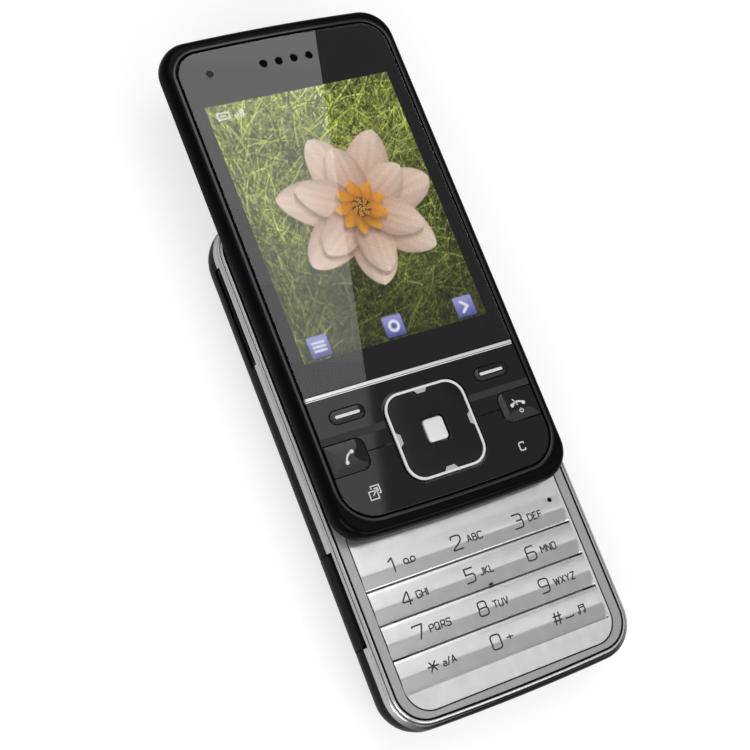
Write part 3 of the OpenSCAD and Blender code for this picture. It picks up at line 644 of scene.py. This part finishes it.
def row_marks(i):
    middle = row_y(i)

    def height(x, y):
        return row_height(y - middle)

    parts = []
    for k, x in enumerate(DIGIT_X):
        digit, word = KEY_WORDS[i].split()[2 * k:2 * k + 2]
        size, spread = (2.2, 1.1) if digit == "#" else (DIGIT_SIZE, DIGIT_SPREAD)
        parts += written(digit, x, middle - size / 2, size, 0.28, height, spread)
        at = (x + WORD_X, middle - 0.65)
        if word == "@":  # two reels joined below
            parts += [ribbon([(at[0] + dx, at[1] + 0.55 + dy) for dx, dy in loop], 0.24, height)
                      for loop in (circle(0.5, 0, 0.44), circle(1.85, 0, 0.44))]
            parts.append(ribbon([(at[0] + 0.5, at[1] + 0.1), (at[0] + 1.85, at[1] + 0.1)], 0.24, height))
        elif word == "~":  # space mark, then a note
            parts += written(word, at[0] - 0.5, at[1] + 0.1, 1.7, 0.24, height, 1.35)
            for path in (((2.3, 0.1), (2.3, 1.25), (3.3, 1.25), (3.3, 0.1)), ((2.3, 0.9), (3.3, 0.9)),
                         circle(2.12, 0.12, 0.17, count=8), circle(3.12, 0.12, 0.17, count=8)):
                path = [(at[0] + 0.1 + 1.1 * a, at[1] + 1.1 * b) for a, b in path]
                parts.append(ribbon(path, 0.23, height))
        else:
            grow, spread = (1.3, 1.6) if word == "+" else (1, LETTER_SPREAD)
            parts += written(word, *at, LETTER_SIZE * grow, 0.23, height, spread)
    piece(f"row_marks_{i + 1}", *join(parts), "ink_dark", f"key_row_{i + 1}", "satin_silver")


def key_row(i):
    """A row of keys; the first row's upper end and the last row's lower end close up to the panel."""
    low = 0.135 if i == 3 else 0
    high = 0.135 if i == 0 else 0
    section = [(y + (high if y > ROW_HALF - 0.4 else 0) - (low if y < 0.5 - ROW_HALF else 0),
                11.34 if high and y > ROW_HALF - 0.4 and z > 11 else z) for y, z in ROW_PROFILE]
    left, right = ROW_X
    rings = [[(left + (right - left) * k / 20, row_y(i) + y, z) for y, z in section] for k in range(21)]
    obj = piece(f"number_keys_{i + 1}", *loft(rings), "satin_silver", f"key_row_{i + 1}",
                "satin_silver", [f"key_row_{i + 1}"], sharp=25)
    if i == 0:
        x, y, r = MIC_HOLE
        cut(obj, cylinder(x, y, r, (10.9, 12), 20))
        # a black disc at the hole's floor, for the dark inside of the hole: painted shade
        bottom = cylinder(x, y, r - 0.01, (10.85, 11.1), 20)
        piece("mic_hole_shade", *bottom, "print_black", "key_row_1", "satin_silver")
    if i == 1:
        nub = crowned((1.1, 1.9), (row_y(i) - 2.85, row_y(i) - 2.45), 0.18, (10.8, 11.2), 0.02, 0.06)
        piece("centre_key_nub", *nub, "ink_dark", "key_row_2", "satin_silver")
    row_marks(i)


PAD = ((-21.5, 21.5), (-44.9, -9.4), 4.6)  # outline of the silver keypad panel


def keypad_panel():
    """The silver panel, and a black strip deep in the gap around it as painted shade."""
    # a black strip deep in the gap round the panel: painted shade
    strip = rect_skin(PAD, ((-0.08, 10.3), (-0.08, 11.12), (0.125, 11.12), (0.125, 10.3)), closed=True)
    piece("panel_gap_shade_strip", *strip, "print_black", "base", "part_black")
    plate = rect_skin(PAD, ((0.13, 10.25), (0.13, 11.28), (0.15, 11.33), (0.2, 11.35)))
    hole = block((-25, ROW_X[1] + 0.02), (ROW_TOP - 4 * ROW_PITCH, ROW_TOP), (10, 12))
    cut(piece("keypad_surround", *plate, "satin_silver", "base", "satin_silver", ["keypad_panel"]), hole)


back_shell()
side_frame()
card_cover()
keypad_panel()
for row in range(4):
    key_row(row)

# ---------- display half

SLIDER = (23.8, -48, 48, 6, 6)  # outline of the display half
PLATE = (21.4, -44.7, 45, 6.2, 4.7)  # outline of its dark front plate
WELL = tuple(v + math.copysign(0.25, v) for v in PLATE)  # the opening round that plate
UNDER_Z, RAIL_Z, SPLIT_Z, LEDGE_Z = 11.75, 12.4, 13.05, 15.05
SHOE_X, SHOE_SLOT = 19.5, 2.4
SLOT_Y = (-31.8 + OPEN, 42.8 + OPEN)  # the rail slots


def housing():
    """The glossy rim round the front plate: a rounded side, a flat lip that catches light and is painted a
    lighter black as sheen, a groove.
    """
    side = ((0.0, SPLIT_Z + 0.01), (0.0, 13.7), (0.04, 14.3), (0.16, 14.8), (0.34, 15.2), (0.6, 15.55),
            (0.9, 15.78), (1.15, 15.88), (1.35, 15.92))
    inside = ((-0.2, 15.92), (-0.06, 15.86), (-0.01, 15.76), (0, 15.5), (0, LEDGE_Z), (2.2, LEDGE_Z),
              (2.2, SPLIT_Z + 0.01))
    rings = [ring(SLIDER, *step, OPEN) for step in side] + [ring(WELL, *step, OPEN) for step in inside]
    # the flat lip, in a lighter black than the rim: painted sheen
    lip = skin(WELL, ((-0.7, 15.9), (-0.68, 15.94), (-0.6, 15.96), (-0.24, 15.96), (-0.18, 15.94),
                      (-0.16, 15.9)), OPEN, closed=True)
    piece("slider_lip", *lip, "lip_grey", "slider", "shell_gloss_black")
    piece("slider_rim", *loft(rings, closed=True), "rim_black", "slider", "shell_gloss_black",
          ["slider_front_housing"])


def back_cover():
    """The display half's underside: it rounds up into the rim, and has the two long rail slots."""
    rise, reach = SPLIT_Z - UNDER_Z, 1.5
    turns = [pi / 2 * (k / 8) for k in range(9)]
    steps = [(reach * (1 - sin(a)), UNDER_Z + rise * (1 - cos(a))) for a in turns]
    obj = piece("slider_underside", *skin(SLIDER, steps, OPEN), "rim_black", "slider",
                "shell_gloss_black", ["slider_back_cover"])
    through = (UNDER_Z - 1, RAIL_Z)
    cuts = [rect_solid((-22.1, 22.1), (-43.9, 43.9), 3.2, (RAIL_Z - 0.05, SPLIT_Z + 1), 0, OPEN),
            block((-5, 5), (-12.2 + OPEN, -10.8 + OPEN), through)]
    for s in SIDES:
        cuts.append(block((s * SHOE_X - SHOE_SLOT / 2, s * SHOE_X + SHOE_SLOT / 2), SLOT_Y, through))
        cuts.append(cylinder(s * 6, 4 + OPEN, 1, (UNDER_Z - 1, UNDER_Z + 1), 24))
        cuts += [cylinder(s * 11, y + OPEN, 1, (UNDER_Z - 1, UNDER_Z + 0.6), 24) for y in (-45.2, 45.2)]
    cut(obj, *cuts)


def flex_cable():
    """The flexible circuit, split at the slide: a run on the keypad half, a tail on the display half."""
    half_w, t = 4.4, 0.12
    foot, run_z, tail_z = 9, 11.48, (11.7, 13.35)
    start, near, far = 11, 6.9, 21.5
    run = ((start, foot), (start, foot + t), (near + t, foot + t), (near + t, run_z), (far, run_z),
           (far, run_z + t), (near, run_z + t), (near, foot))
    tail = ((far - t, tail_z[0]), (far, tail_z[0]), (far, tail_z[1]), (far - t, tail_z[1]))
    for name, profile, body, gone in (("flex_run", run, "base", ["flex_cable"]),
                                      ("flex_tail", tail, "slider", ())):
        rings = [[(x, y, z) for y, z in profile] for x in (-half_w, half_w)]
        piece(name, *loft(rings), "amber", body, "flex_amber", gone)


housing()
back_cover()
flex_cable()


def plate_part(name, low, high, z, bevel, look, body, slot, node):
    """A stretch of the front plate between two heights across it, with softened top edges."""
    steps = ((0, z[0]), (0, z[1] - bevel), (0.3 * bevel, z[1] - 0.3 * bevel), (bevel, z[1]))
    obj = piece(name, *skin(PLATE, steps, OPEN), look, body, slot, [node])
    over = (z[0] - 1, z[1] + 1)
    cuts = []
    if low > PLATE[1]:
        cuts.append(block(ACROSS, (PLATE[1] - 5 + OPEN, low + OPEN), over))
    if high < PLATE[2]:
        cuts.append(block(ACROSS, (high + OPEN, PLATE[2] + 5 + OPEN), over))
    return cut(obj, *cuts)


PICTURE = ((-18.7, 18.9), (17.3, 67.2))
WINDOW_FOOT = -21.475
EARPIECE = [((i - 1.5) * 3.13, 40.3 + OPEN) for i in range(4)]
SENSOR = (-15.5, 40.2 + OPEN)


def earpiece_holes(z):
    return [cylinder(x, y, 0.78, z) for x, y in EARPIECE]


def front_window():
    """Clear glass with four holes for the earpiece, and the black print behind it round the picture."""
    window = plate_part("front_glass", WINDOW_FOOT, 99, (15.25, 16.0), 0.12, "window_glass_clear",
                        "slider", "window_glass", "front_window")
    cut(window, *earpiece_holes((15, 17)))
    behind = piece("glass_print", *skin(PLATE, ((0.15, 15.27), (0.15, 15.3)), OPEN), "print_black",
                   "slider", "window_glass")
    cut(behind, block(ACROSS, (PLATE[1] - 5 + OPEN, WINDOW_FOOT + OPEN + 0.1), (15, 16)),
        block(*PICTURE, (15, 16)), *earpiece_holes((15, 16)))
    wall = ((0.77, 15.21), (0.77, 15.98), (0.74, 15.98), (0.74, 15.21))
    liners = [loft([round_ring(x, y, r, z, 28) for r, z in wall], closed=True) for x, y in EARPIECE]
    piece("earpiece_liners", *join(liners), "print_black", "slider", "part_black")
    piece("sensor_dot", *cylinder(*SENSOR, 0.72, (15.9, 16.006), 28), "dot_black", "slider", "part_black")


front_window()

# ---------- display half: keys and display

NAV_Y = -33.2
NAV = ((-8.1, 8.1), (NAV_Y - 8.1, NAV_Y + 8.1), 3.5)
SOFT_X, SOFT_Y = 14.8, -26.2
SIDE_KEY_Y = (-36.2, -30.5)
SIDE_KEY_X = (13.85, 21.4)
PLATE_TOP = 15.95
THROUGH = (14, 17)  # heights of a cut right through the plates
NAV_PLAY = 0.45


def soft_box(side):
    return ((side * SOFT_X - 3.4, side * SOFT_X + 3.4), (SOFT_Y - 1.2, SOFT_Y + 1.2), 1.19)


def side_key_box(side, wide=SIDE_KEY_X[1]):
    radii = (0.1, 1.6, 1.6, 0.1) if side > 0 else (1.6, 0.1, 0.1, 1.6)
    return (tuple(sorted((side * SIDE_KEY_X[0], side * wide))), SIDE_KEY_Y, radii)


def side_notch(side):
    """The call or end key's opening, which runs out through the plate's side."""
    return side_key_box(side, 24)


def key_plate(name, low, high, foot, body, node, openings, *more):
    """A dark plate with openings for the navigation key and for the smaller keys at each side."""
    obj = plate_part(name, low, high, (foot, PLATE_TOP), 0.1, "key_black", body, "plate_black", node)
    cuts = [rect_solid(*NAV, THROUGH, NAV_PLAY, OPEN)]
    cuts += [rect_solid(*box(s), THROUGH, PLAY, OPEN) for s in SIDES for box in openings]
    bevelled(cut(obj, *cuts, *more), 0.07)


def key_plates():
    """The upper plate dips towards the call and end keys; the lower one rocks."""
    top, foot, high = -29.15 + OPEN, -30.45 + OPEN, 16.5
    edge = ((top, high), (top, PLATE_TOP - 0.005), (foot, PLATE_TOP - 0.2), (foot, high))
    dip = loft([[(x, y, z) for y, z in edge] for x in ACROSS])
    key_plate("key_plate_upper", -33.2, -22.525, 15.05, "slider", "upper_key_plate",
              (soft_box, side_notch), dip)
    key_plate("key_plate_lower", -99, -33.4, 15.45, "lower_keys", "lower_key_plate", (side_notch,))


def trim_bar():
    """The bright bar, with a fine line of its foot showing below a groove, which a black strip at its floor
    darkens as painted shade.
    """
    x, y = (-21.2, 21.2), (-22.425 + OPEN, -21.575 + OPEN)
    bar = rect_skin((x, y, 0.05), ((0, 15.05), (0, 15.98), (0.04, 16.04), (0.12, 16.08)))
    obj = piece("bright_bar", *bar, "chrome", "slider", "bright_trim", ["trim_bar"])
    cut(obj, block((-22, 22), (y[0] + 0.14, y[0] + 0.26), (15.9, 17)))
    # a black strip at the groove's floor: painted shade
    strip = block((x[0] + 0.02, x[1] - 0.02), (y[0] + 0.141, y[0] + 0.259), (15.85, 15.95))
    piece("bar_groove_shade", *strip, "print_black", "slider", "bright_trim")


def soft_key(side, name):
    """A dark pill with a bright stripe."""
    pill = crowned(*soft_box(side), (15.12, 16.12), 0.06, 0.14, OPEN)
    piece(f"{name}_pill", *pill, "key_black", name, "plate_black", [name])
    x, y = side * SOFT_X, SOFT_Y + OPEN
    stripe = crowned((x - 2.4, x + 2.4), (y - 0.27, y + 0.27), 0.2, (16.05, 16.2), 0.01, 0.03)
    piece(f"{name}_stripe", *stripe, "ring_white", name, "bright_trim")


def handset(arc, z):
    """A telephone receiver: a slim bow with a round end at each side."""
    ends = [cylinder(x, y, 0.36, (z - 0.04, z + 0.022), 16) for x, y in (arc[0], arc[-1])]
    return [ribbon(arc, 0.34, z)] + ends


def side_key(side, name):
    """The call key has a receiver; the end key a lying one with a stroke to a power sign below it."""
    x, y, r = side_key_box(side)
    x = (x[0], x[1] - 0.02) if side > 0 else (x[0] + 0.02, x[1])
    top = 15.98
    piece(f"{name}_cap", *crowned(x, y, r, (15.42, top), 0.13, 0.16, OPEN), "key_black", name,
          "plate_black", [name])
    up = top + 0.115  # on the crown of the cap
    cx, cy = side * 17.4, sum(SIDE_KEY_Y) / 2 + OPEN + 0.2
    if side < 0:
        parts = handset(circle(cx + 1.05, cy - 1.15, 1.75, 98, 80, 10), up)
    else:
        parts = handset(circle(cx, cy - 1.5, 1.8, 132, -84, 10), up)
        parts += [ribbon([(cx - 0.75, cy + 0.95), (cx - 0.1, cy - 0.3)], 0.2, up),
                  ribbon(circle(cx + 0.25, cy - 1.45, 0.36, 125, 290, 10), 0.14, up),
                  ribbon([(cx + 0.25, cy - 1.5), (cx + 0.25, cy - 0.95)], 0.14, up)]
    piece(f"{name}_mark", *join(parts), "ink_white", name, "plate_black")


def nav_marks():
    """Four lighter marks on the navigation key, one at the middle of each side."""
    parts = []
    for k in range(4):
        turn = Matrix.Rotation(k * pi / 2, 2)
        shape = [turn @ Vector(p) for p in ((-1.35, 7.66), (1.35, 7.66), (0.8, 6.9), (-0.8, 6.9))]
        parts.append(loft([[(p.x, p.y + NAV_Y + OPEN, z) for p in shape] for z in (16.1, 16.26)]))
    piece("nav_marks", *join(parts), "notch_grey", "nav_key", "bright_trim")


def nav():
    """The square key with its bright ring."""
    cap = rect_skin(NAV, ((0.02, 15.15), (0.02, 15.9), (0.5, 15.9), (0.52, 16.1), (0.6, 16.18),
                          (0.75, 16.21), (2.0, 16.24), (4.0, 16.25), (5.6, 16.24)), OPEN)
    hole = rect_solid((-2.32, 2.32), (NAV_Y - 2.47, NAV_Y + 2.47), 0.95, THROUGH, 0, OPEN)
    obj = piece("nav_key_cap", *cap, "nav_black", "nav_key", "plate_black", ["nav_key"])
    bevelled(cut(obj, hole), 0.12)
    band = rect_skin(NAV, ((0.02, 15.92), (0.02, 16.2), (0.06, 16.27), (0.14, 16.3), (0.36, 16.3),
                           (0.44, 16.27), (0.48, 16.2), (0.48, 15.92)), OPEN, closed=True)
    piece("nav_ring_band", *band, "ring_white", "nav_key", "bright_trim", ["nav_ring"])
    nav_marks()


def select():
    cap = crowned((-1.95, 1.95), (NAV_Y - 2.1, NAV_Y + 2.1), 0.7, (15.1, 16.4), 0.09, 0.25, OPEN)
    piece("select_cap", *cap, "select_silver", "select_key", "satin_silver", ["select_key"])


def plate_marks():
    """The two small marks on the lower key plate: overlapping sheets with an arrow, and a C."""
    x, y = -15.3, -7.5
    sheets = [[(-1.1, -1.25), (0.5, -1.25), (0.5, 0.35), (-1.1, 0.35), (-1.1, -1.25)],
              [(-0.45, 0.7), (-0.45, 1.3), (1.15, 1.3), (1.15, -0.3), (0.8, -0.3)],
              [(-0.45, -0.55), (0.7, 0.75)], [(0.0, 0.75), (0.75, 0.8), (0.75, 0.1)]]
    parts = [ribbon([(x + a, y + 0.9 * b) for a, b in p], 0.19, PLATE_TOP) for p in sheets]
    parts += written("C", 14.45, -8.5, 1.45, 0.23, PLATE_TOP, 1.35)
    piece("plate_marks", *join(parts), "ink_white", "lower_keys", "plate_black")


# ---------- the lit picture

PICTURE_Z = 15.285  # against the back of the glass, so that only its front mirrors the room
DOT = 0.19  # spacing of the painted dots


class Painting:
    """A sheet of coloured dots in the picture's place, painted with soft-edged shapes."""

    def __init__(self):
        (x0, x1), (y0, y1) = PICTURE
        nx, ny = round((x1 - x0) / DOT) + 1, round((y1 - y0) / DOT) + 1
        self.x, self.y = np.meshgrid(np.linspace(x0, x1, nx), np.linspace(y0, y1, ny))
        self.color = np.zeros((ny, nx, 3))

    def near(self, x, y, reach):
        """The rows and columns of dots within a distance of a place."""
        (x0, _), (y0, _) = PICTURE
        ny, nx = self.x.shape
        col, row, n = round((x - x0) / DOT), round((y - y0) / DOT), math.ceil(reach / DOT) + 1
        return (slice(min(max(row - n, 0), ny), max(row + n, 0)),
                slice(min(max(col - n, 0), nx), max(col + n, 0)))

    def lay(self, where, cover, color):
        amount = np.clip(cover, 0, 1)[..., None]
        self.color[where] = self.color[where] * (1 - amount) + np.array(color) * amount

    def stroke(self, points, widths, tint, reach):
        """A tapering stroke: a colour for each place along it."""
        where = self.near(*points[len(points) // 2], reach)
        x, y = self.x[where], self.y[where]
        if x.size == 0:
            return
        cover, place = np.zeros(x.shape), np.zeros(x.shape)
        steps = len(points) - 1
        for i in range(steps):
            (ax, ay), (bx, by) = points[i], points[i + 1]
            dx, dy = bx - ax, by - ay
            t = np.clip(((x - ax) * dx + (y - ay) * dy) / (dx * dx + dy * dy + 1e-9), 0, 1)
            far = np.hypot(x - ax - t * dx, y - ay - t * dy)
            wide = widths[i] + (widths[i + 1] - widths[i]) * t
            here = np.clip((wide - far) / DOT + 0.5, 0, 1)
            place = np.where(here > cover, (i + t) / steps, place)
            cover = np.maximum(cover, here)
        root, tip = np.array(tint)
        self.lay(where, cover, root + (tip - root) * place[..., None])

    def box(self, x, y, half, radius, color):
        """A square with rounded corners; its colour may change from dot to dot."""
        where = self.near(x, y, half * 1.5)
        dx = np.maximum(np.abs(self.x[where] - x) - half + radius, 0)
        dy = np.maximum(np.abs(self.y[where] - y) - half + radius, 0)
        if callable(color):
            color = color(self.x[where], self.y[where])
        self.lay(where, (radius - np.hypot(dx, dy)) / DOT + 0.5, color)

    def disc(self, x, y, r, color, soft=DOT):
        where = self.near(x, y, r + soft)
        far = np.hypot(self.x[where] - x, self.y[where] - y)
        self.lay(where, (r - far) / soft + 0.5, color)


def meadow(sheet, rng):
    """Grass: a patchy ground, lighter and yellower towards the top, under crossing blades."""
    (x0, x1), (y0, y1) = PICTURE
    patches = (0.5 + 0.3 * np.sin(sheet.x * 0.31 + 1.3 * np.sin(sheet.y * 0.13))
               + 0.25 * np.sin(sheet.y * 0.23 + sheet.x * 0.11))
    high = (sheet.y - y0) / (y1 - y0)
    left = (x1 - sheet.x) / (x1 - x0)
    light = np.clip(0.1 + 0.7 * high + 0.1 * left + 0.5 * (patches - 0.5), 0.13, 1)[..., None]
    sheet.color[...] = np.array((0.01, 0.016, 0.003)) + light * np.array((0.14, 0.165, 0.006))
    for _ in range(9000):
        x, y = rng.uniform(x0, x1), rng.uniform(y0 - 3, y1)
        lean, length = rng.gauss(0.3, 0.9), rng.uniform(3.5, 11.0)
        wide, bend = rng.uniform(0.03, 0.1), rng.uniform(-0.6, 0.6)
        row = min(max(round((y - y0) / DOT), 0), sheet.x.shape[0] - 1)
        col = min(round((x - x0) / DOT), sheet.x.shape[1] - 1)
        glow = float(light[row, col, 0]) * rng.uniform(0.05, 1.0) ** 2.6 * 4.6
        root = np.array((0.02, 0.03, 0.004)) * (0.4 + glow)
        tip = np.array((0.40, 0.455, 0.035)) * glow + np.array((0.18, 0.18, 0.16)) * glow * rng.random()
        dx, dy = sin(lean), cos(lean)
        points = [(x + (dx + bend * t * dy) * length * t, y + (dy - bend * t * dx) * length * t)
                  for t in (0, 0.25, 0.5, 0.75, 1)]
        widths = [wide * w for w in (1, 0.95, 0.8, 0.55, 0.2)]
        sheet.stroke(points, widths, (root, tip), length * 0.75 + 0.5)


def petal(sheet, at, turn, long, wide, deep, pale, phase):
    """One petal with a soft shadow under it, fine veins, and a shade across it."""
    c, s = cos(turn), sin(turn)
    for shift, soft in (((-0.55, -0.75), 1.3), ((0, 0), DOT)):
        x, y = sheet.x - at[0] - shift[0], sheet.y - at[1] - shift[1]
        u, v = x * c + y * s, y * c - x * s
        t = np.clip(u / long, 0, 1)
        half = wide * np.sin(pi * t ** 0.8) ** 0.62 * (0.62 + 0.38 * t)
        half = half * (1 + 0.03 * np.sin(11 * t + phase))
        cover = np.clip((half - np.abs(v)) / soft + 0.5, 0, 1) * (u > 0) * (u < long)
        if soft > DOT:
            sheet.lay((slice(None), slice(None)), cover * 0.5, (0.012, 0.016, 0.006))
            continue
        across = v / np.maximum(half, 0.3)
        shade = (1 - 0.2 * across ** 2 + 0.1 * across + 0.035 * np.cos(v / wide * 19 + phase)
                 - 0.22 * np.exp(-(v / 0.35) ** 2) * (1 - t))
        color = (deep + (pale - deep) * (t[..., None] ** 0.75)) * shade[..., None]
        sheet.lay((slice(None), slice(None)), cover, color)


def blossom(sheet, rng, x, y):
    """A large pale blossom with an orange heart."""
    deep, pale = np.array((0.52, 0.20, 0.11)), np.array((0.78, 0.62, 0.50))
    for count, long, wide, start in ((7, 15.8, 5.6, 8), (6, 12.6, 4.6, 33)):
        for k in range(count):
            turn = radians(start + 360 / count * k + rng.uniform(-3, 3))
            petal(sheet, (x, y), turn, long * rng.uniform(0.95, 1.03), wide, deep, pale, rng.uniform(0, 6))
    for k in range(9):
        petal(sheet, (x, y), radians(40 * k + 14), 5.3, 1.75, np.array((0.50, 0.13, 0.015)),
              np.array((0.82, 0.36, 0.05)), k)
    sheet.disc(x, y, 1.9, (0.20, 0.06, 0.012), 0.5)
    for k in range(70):  # seeds in a spiral
        r, a = 0.22 * sqrt(k), k * 2.39996
        sheet.disc(x + r * cos(a), y + r * sin(a), 0.13,
                   (0.85, 0.50, 0.10) if k % 3 else (0.10, 0.03, 0.01))


def tiles(sheet):
    """Three plain blue tiles with a set of bars, a ring and an arrow head."""
    def blue(x, y):
        t = np.clip((y - 17.5) / 4 + (x % 2) * 0.05, 0, 1)[..., None]
        return np.array((0.055, 0.055, 0.24)) + t * np.array((0.26, 0.27, 0.42))

    white, y = (0.80, 0.82, 0.92), 19.75
    ink = (white, white)
    for x in (-14.8, 0.3, 15.2):
        sheet.box(x + 0.18, y - 0.18, 2.0, 0.35, (0.01, 0.01, 0.03))
        sheet.box(x, y, 1.95, 0.35, blue)
    for dy in (-0.75, 0, 0.75):
        sheet.stroke([(-15.9, y + dy), (-13.7, y + dy)], [0.2, 0.2], ink, 2)
    sheet.disc(0.3, y, 1.15, white)
    sheet.disc(0.3, y, 0.6, (0.12, 0.12, 0.36))
    sheet.stroke([(14.6, y + 1.0), (15.8, y), (14.6, y - 1.0)], [0.26, 0.26, 0.26], ink, 2)


def status_marks(sheet):
    """A plain battery outline and rising bars in the picture's corner."""
    ink = ((0.8, 0.85, 0.75),) * 2
    x, y = -16.9, 64.4
    for a, b in (((0, 0), (2.2, 0)), ((2.2, 0), (2.2, 1.2)), ((2.2, 1.2), (0, 1.2)), ((0, 1.2), (0, 0)),
                 ((0.5, 0.6), (1.5, 0.6))):
        sheet.stroke([(x + a[0], y + a[1]), (x + b[0], y + b[1])], [0.14, 0.14], ink, 2.4)
    for k in range(4):
        bar = x + 3.3 + 0.55 * k
        sheet.stroke([(bar, y), (bar, y + 0.35 + 0.3 * k)], [0.15, 0.15], ink, 2)


def picture():
    """A generic lit picture: a meadow, a large pale blossom, and three plain tiles along the foot."""
    rng = random.Random(11)
    sheet = Painting()
    meadow(sheet, rng)
    blossom(sheet, rng, 3.2, 42.6)
    tiles(sheet)
    status_marks(sheet)
    ny, nx = sheet.x.shape
    verts = [(x, y, PICTURE_Z) for x, y in zip(sheet.x.flat, sheet.y.flat)]
    faces = [(j * nx + i, j * nx + i + 1, (j + 1) * nx + i + 1, (j + 1) * nx + i)
             for j in range(ny - 1) for i in range(nx - 1)]
    obj = solid("display_picture", verts, faces)
    paint = obj.data.color_attributes.new("paint", "FLOAT_COLOR", "POINT")
    colors = np.ones((ny * nx, 4))
    colors[:, :3] = np.clip(sheet.color, 0, 1).reshape(-1, 3)
    paint.data.foreach_set("color", colors.ravel())
    obj.data.materials.append(M["display_picture"])
    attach(obj, "slider")


key_plates()
trim_bar()
soft_key(-1, "soft_key_left")
soft_key(1, "soft_key_right")
side_key(-1, "call_key")
side_key(1, "end_key")
nav()
select()
plate_marks()
picture()
even_shading()

# ---------- light, floor and camera

CAMERA_AT = Vector((-139.74, -44.07, 277.16)) * MM
CAMERA_AXES = (Vector((0.85987761, -0.36303014, 0.35891449)),  # to the right of the picture
               Vector((0.25030306, 0.91256975, 0.32336485)),  # up in the picture
               Vector((-0.44492569, -0.1882168, 0.87556585)))  # towards the viewer
FOCAL = 82.32  # mm, on a 36 mm wide sensor


def camera():
    data = bpy.data.cameras.new("camera")
    data.lens = FOCAL
    data.sensor_width = 36
    data.clip_start = 0.01
    obj = put("camera", data)
    obj.matrix_world = Matrix.Translation(CAMERA_AT) @ Matrix(CAMERA_AXES).transposed().to_4x4()
    bpy.context.scene.camera = obj


def lamp(name, at, aim, size, power, spin=0.0):
    data = bpy.data.lights.new(name, "AREA")
    data.shape = "RECTANGLE"
    data.size, data.size_y = size
    data.energy = power
    facing = (Vector(aim) - Vector(at)).to_track_quat("-Z", "Y").to_matrix().to_4x4()
    put(name, data).matrix_world = Matrix.Translation(at) @ facing @ Matrix.Rotation(spin, 4, "Z")


def overhead(name, x, y, size, power, spin=0.0):
    """A lamp that faces straight down; the glass and the silver keys mirror this height."""
    lamp(name, (x, y, 0.716), (x, y, 0), size, power, spin)


def graded_softbox():
    """A softbox in strips side by side, dimmer towards its near end; its edge crosses the glass."""
    middle, width, depth = Vector((0.057, 0.30)), 0.62, 0.42
    spin, strips, power = -radians(14.2), 8, 1.2
    for i in range(strips):
        along = (i + 0.5) / strips - 0.5
        at = middle + Matrix.Rotation(spin, 2) @ Vector((0, along * depth))
        share = power * (1.0 + along) / strips
        overhead(f"softbox_{i + 1}", at.x, at.y, (width, depth / strips), share, spin)


def world():
    """Dim grey light from all round; the camera itself sees white."""
    studio = bpy.data.worlds.new("studio")
    bpy.context.scene.world = studio
    studio.use_nodes = True
    nt = studio.node_tree
    grey = nt.nodes["Background"]
    fill(nt, grey, {"Color": (0.30, 0.30, 0.305, 1)})
    white = new_node(nt, "Background", {"Color": (1, 1, 1, 1)})
    seen = new_node(nt, "LightPath", {})
    mix = new_node(nt, "MixShader", {
        "Fac": seen["Is Camera Ray"], 1: grey.outputs["Background"], 2: white["Background"]})
    fill(nt, nt.nodes["World Output"], {"Surface": mix["Shader"]})


def floor():
    """A matte grey floor that the camera sees lifted to white, with the object's shadow on it."""
    far, lift = 2500, 0.62
    obj = solid("floor", [(-far, -far, 0), (far, -far, 0), (far, far, 0), (-far, far, 0)], [(0, 1, 2, 3)])
    obj.location.z = -0.0001
    nt, shader = new_material("floor")
    nt.nodes.remove(shader)
    matte = new_node(nt, "BsdfDiffuse", {"Color": (0.62, 0.62, 0.62, 1)})
    seen = new_node(nt, "LightPath", {})
    lifted = new_node(nt, "Math", {0: seen["Is Camera Ray"], 1: lift}, operation="MULTIPLY")
    glow = new_node(nt, "Emission", {"Color": (1, 1, 1, 1), "Strength": lifted["Value"]})
    both = new_node(nt, "AddShader", {0: matte["BSDF"], 1: glow["Emission"]})
    fill(nt, nt.nodes["Material Output"], {"Surface": both["Shader"]})
    obj.data.materials.append(M["floor"])


camera()
world()
floor()
graded_softbox()
overhead("keypad_card", 0.34, -0.01, (0.36, 0.15), 0.105)
overhead("keypad_low_card", 0.2, -0.28, (0.2, 0.2), 0.07)
lamp("fill_left", (-0.7, -0.5, 0.55), (0, 0, 0), (0.7, 0.5), 3.6)
lamp("fill_front", (0.2, -0.9, 0.6), (0, 0, 0), (0.8, 0.5), 2.6)

bpy.context.scene.view_settings.view_transform = "Standard"
bpy.context.view_layer.update()
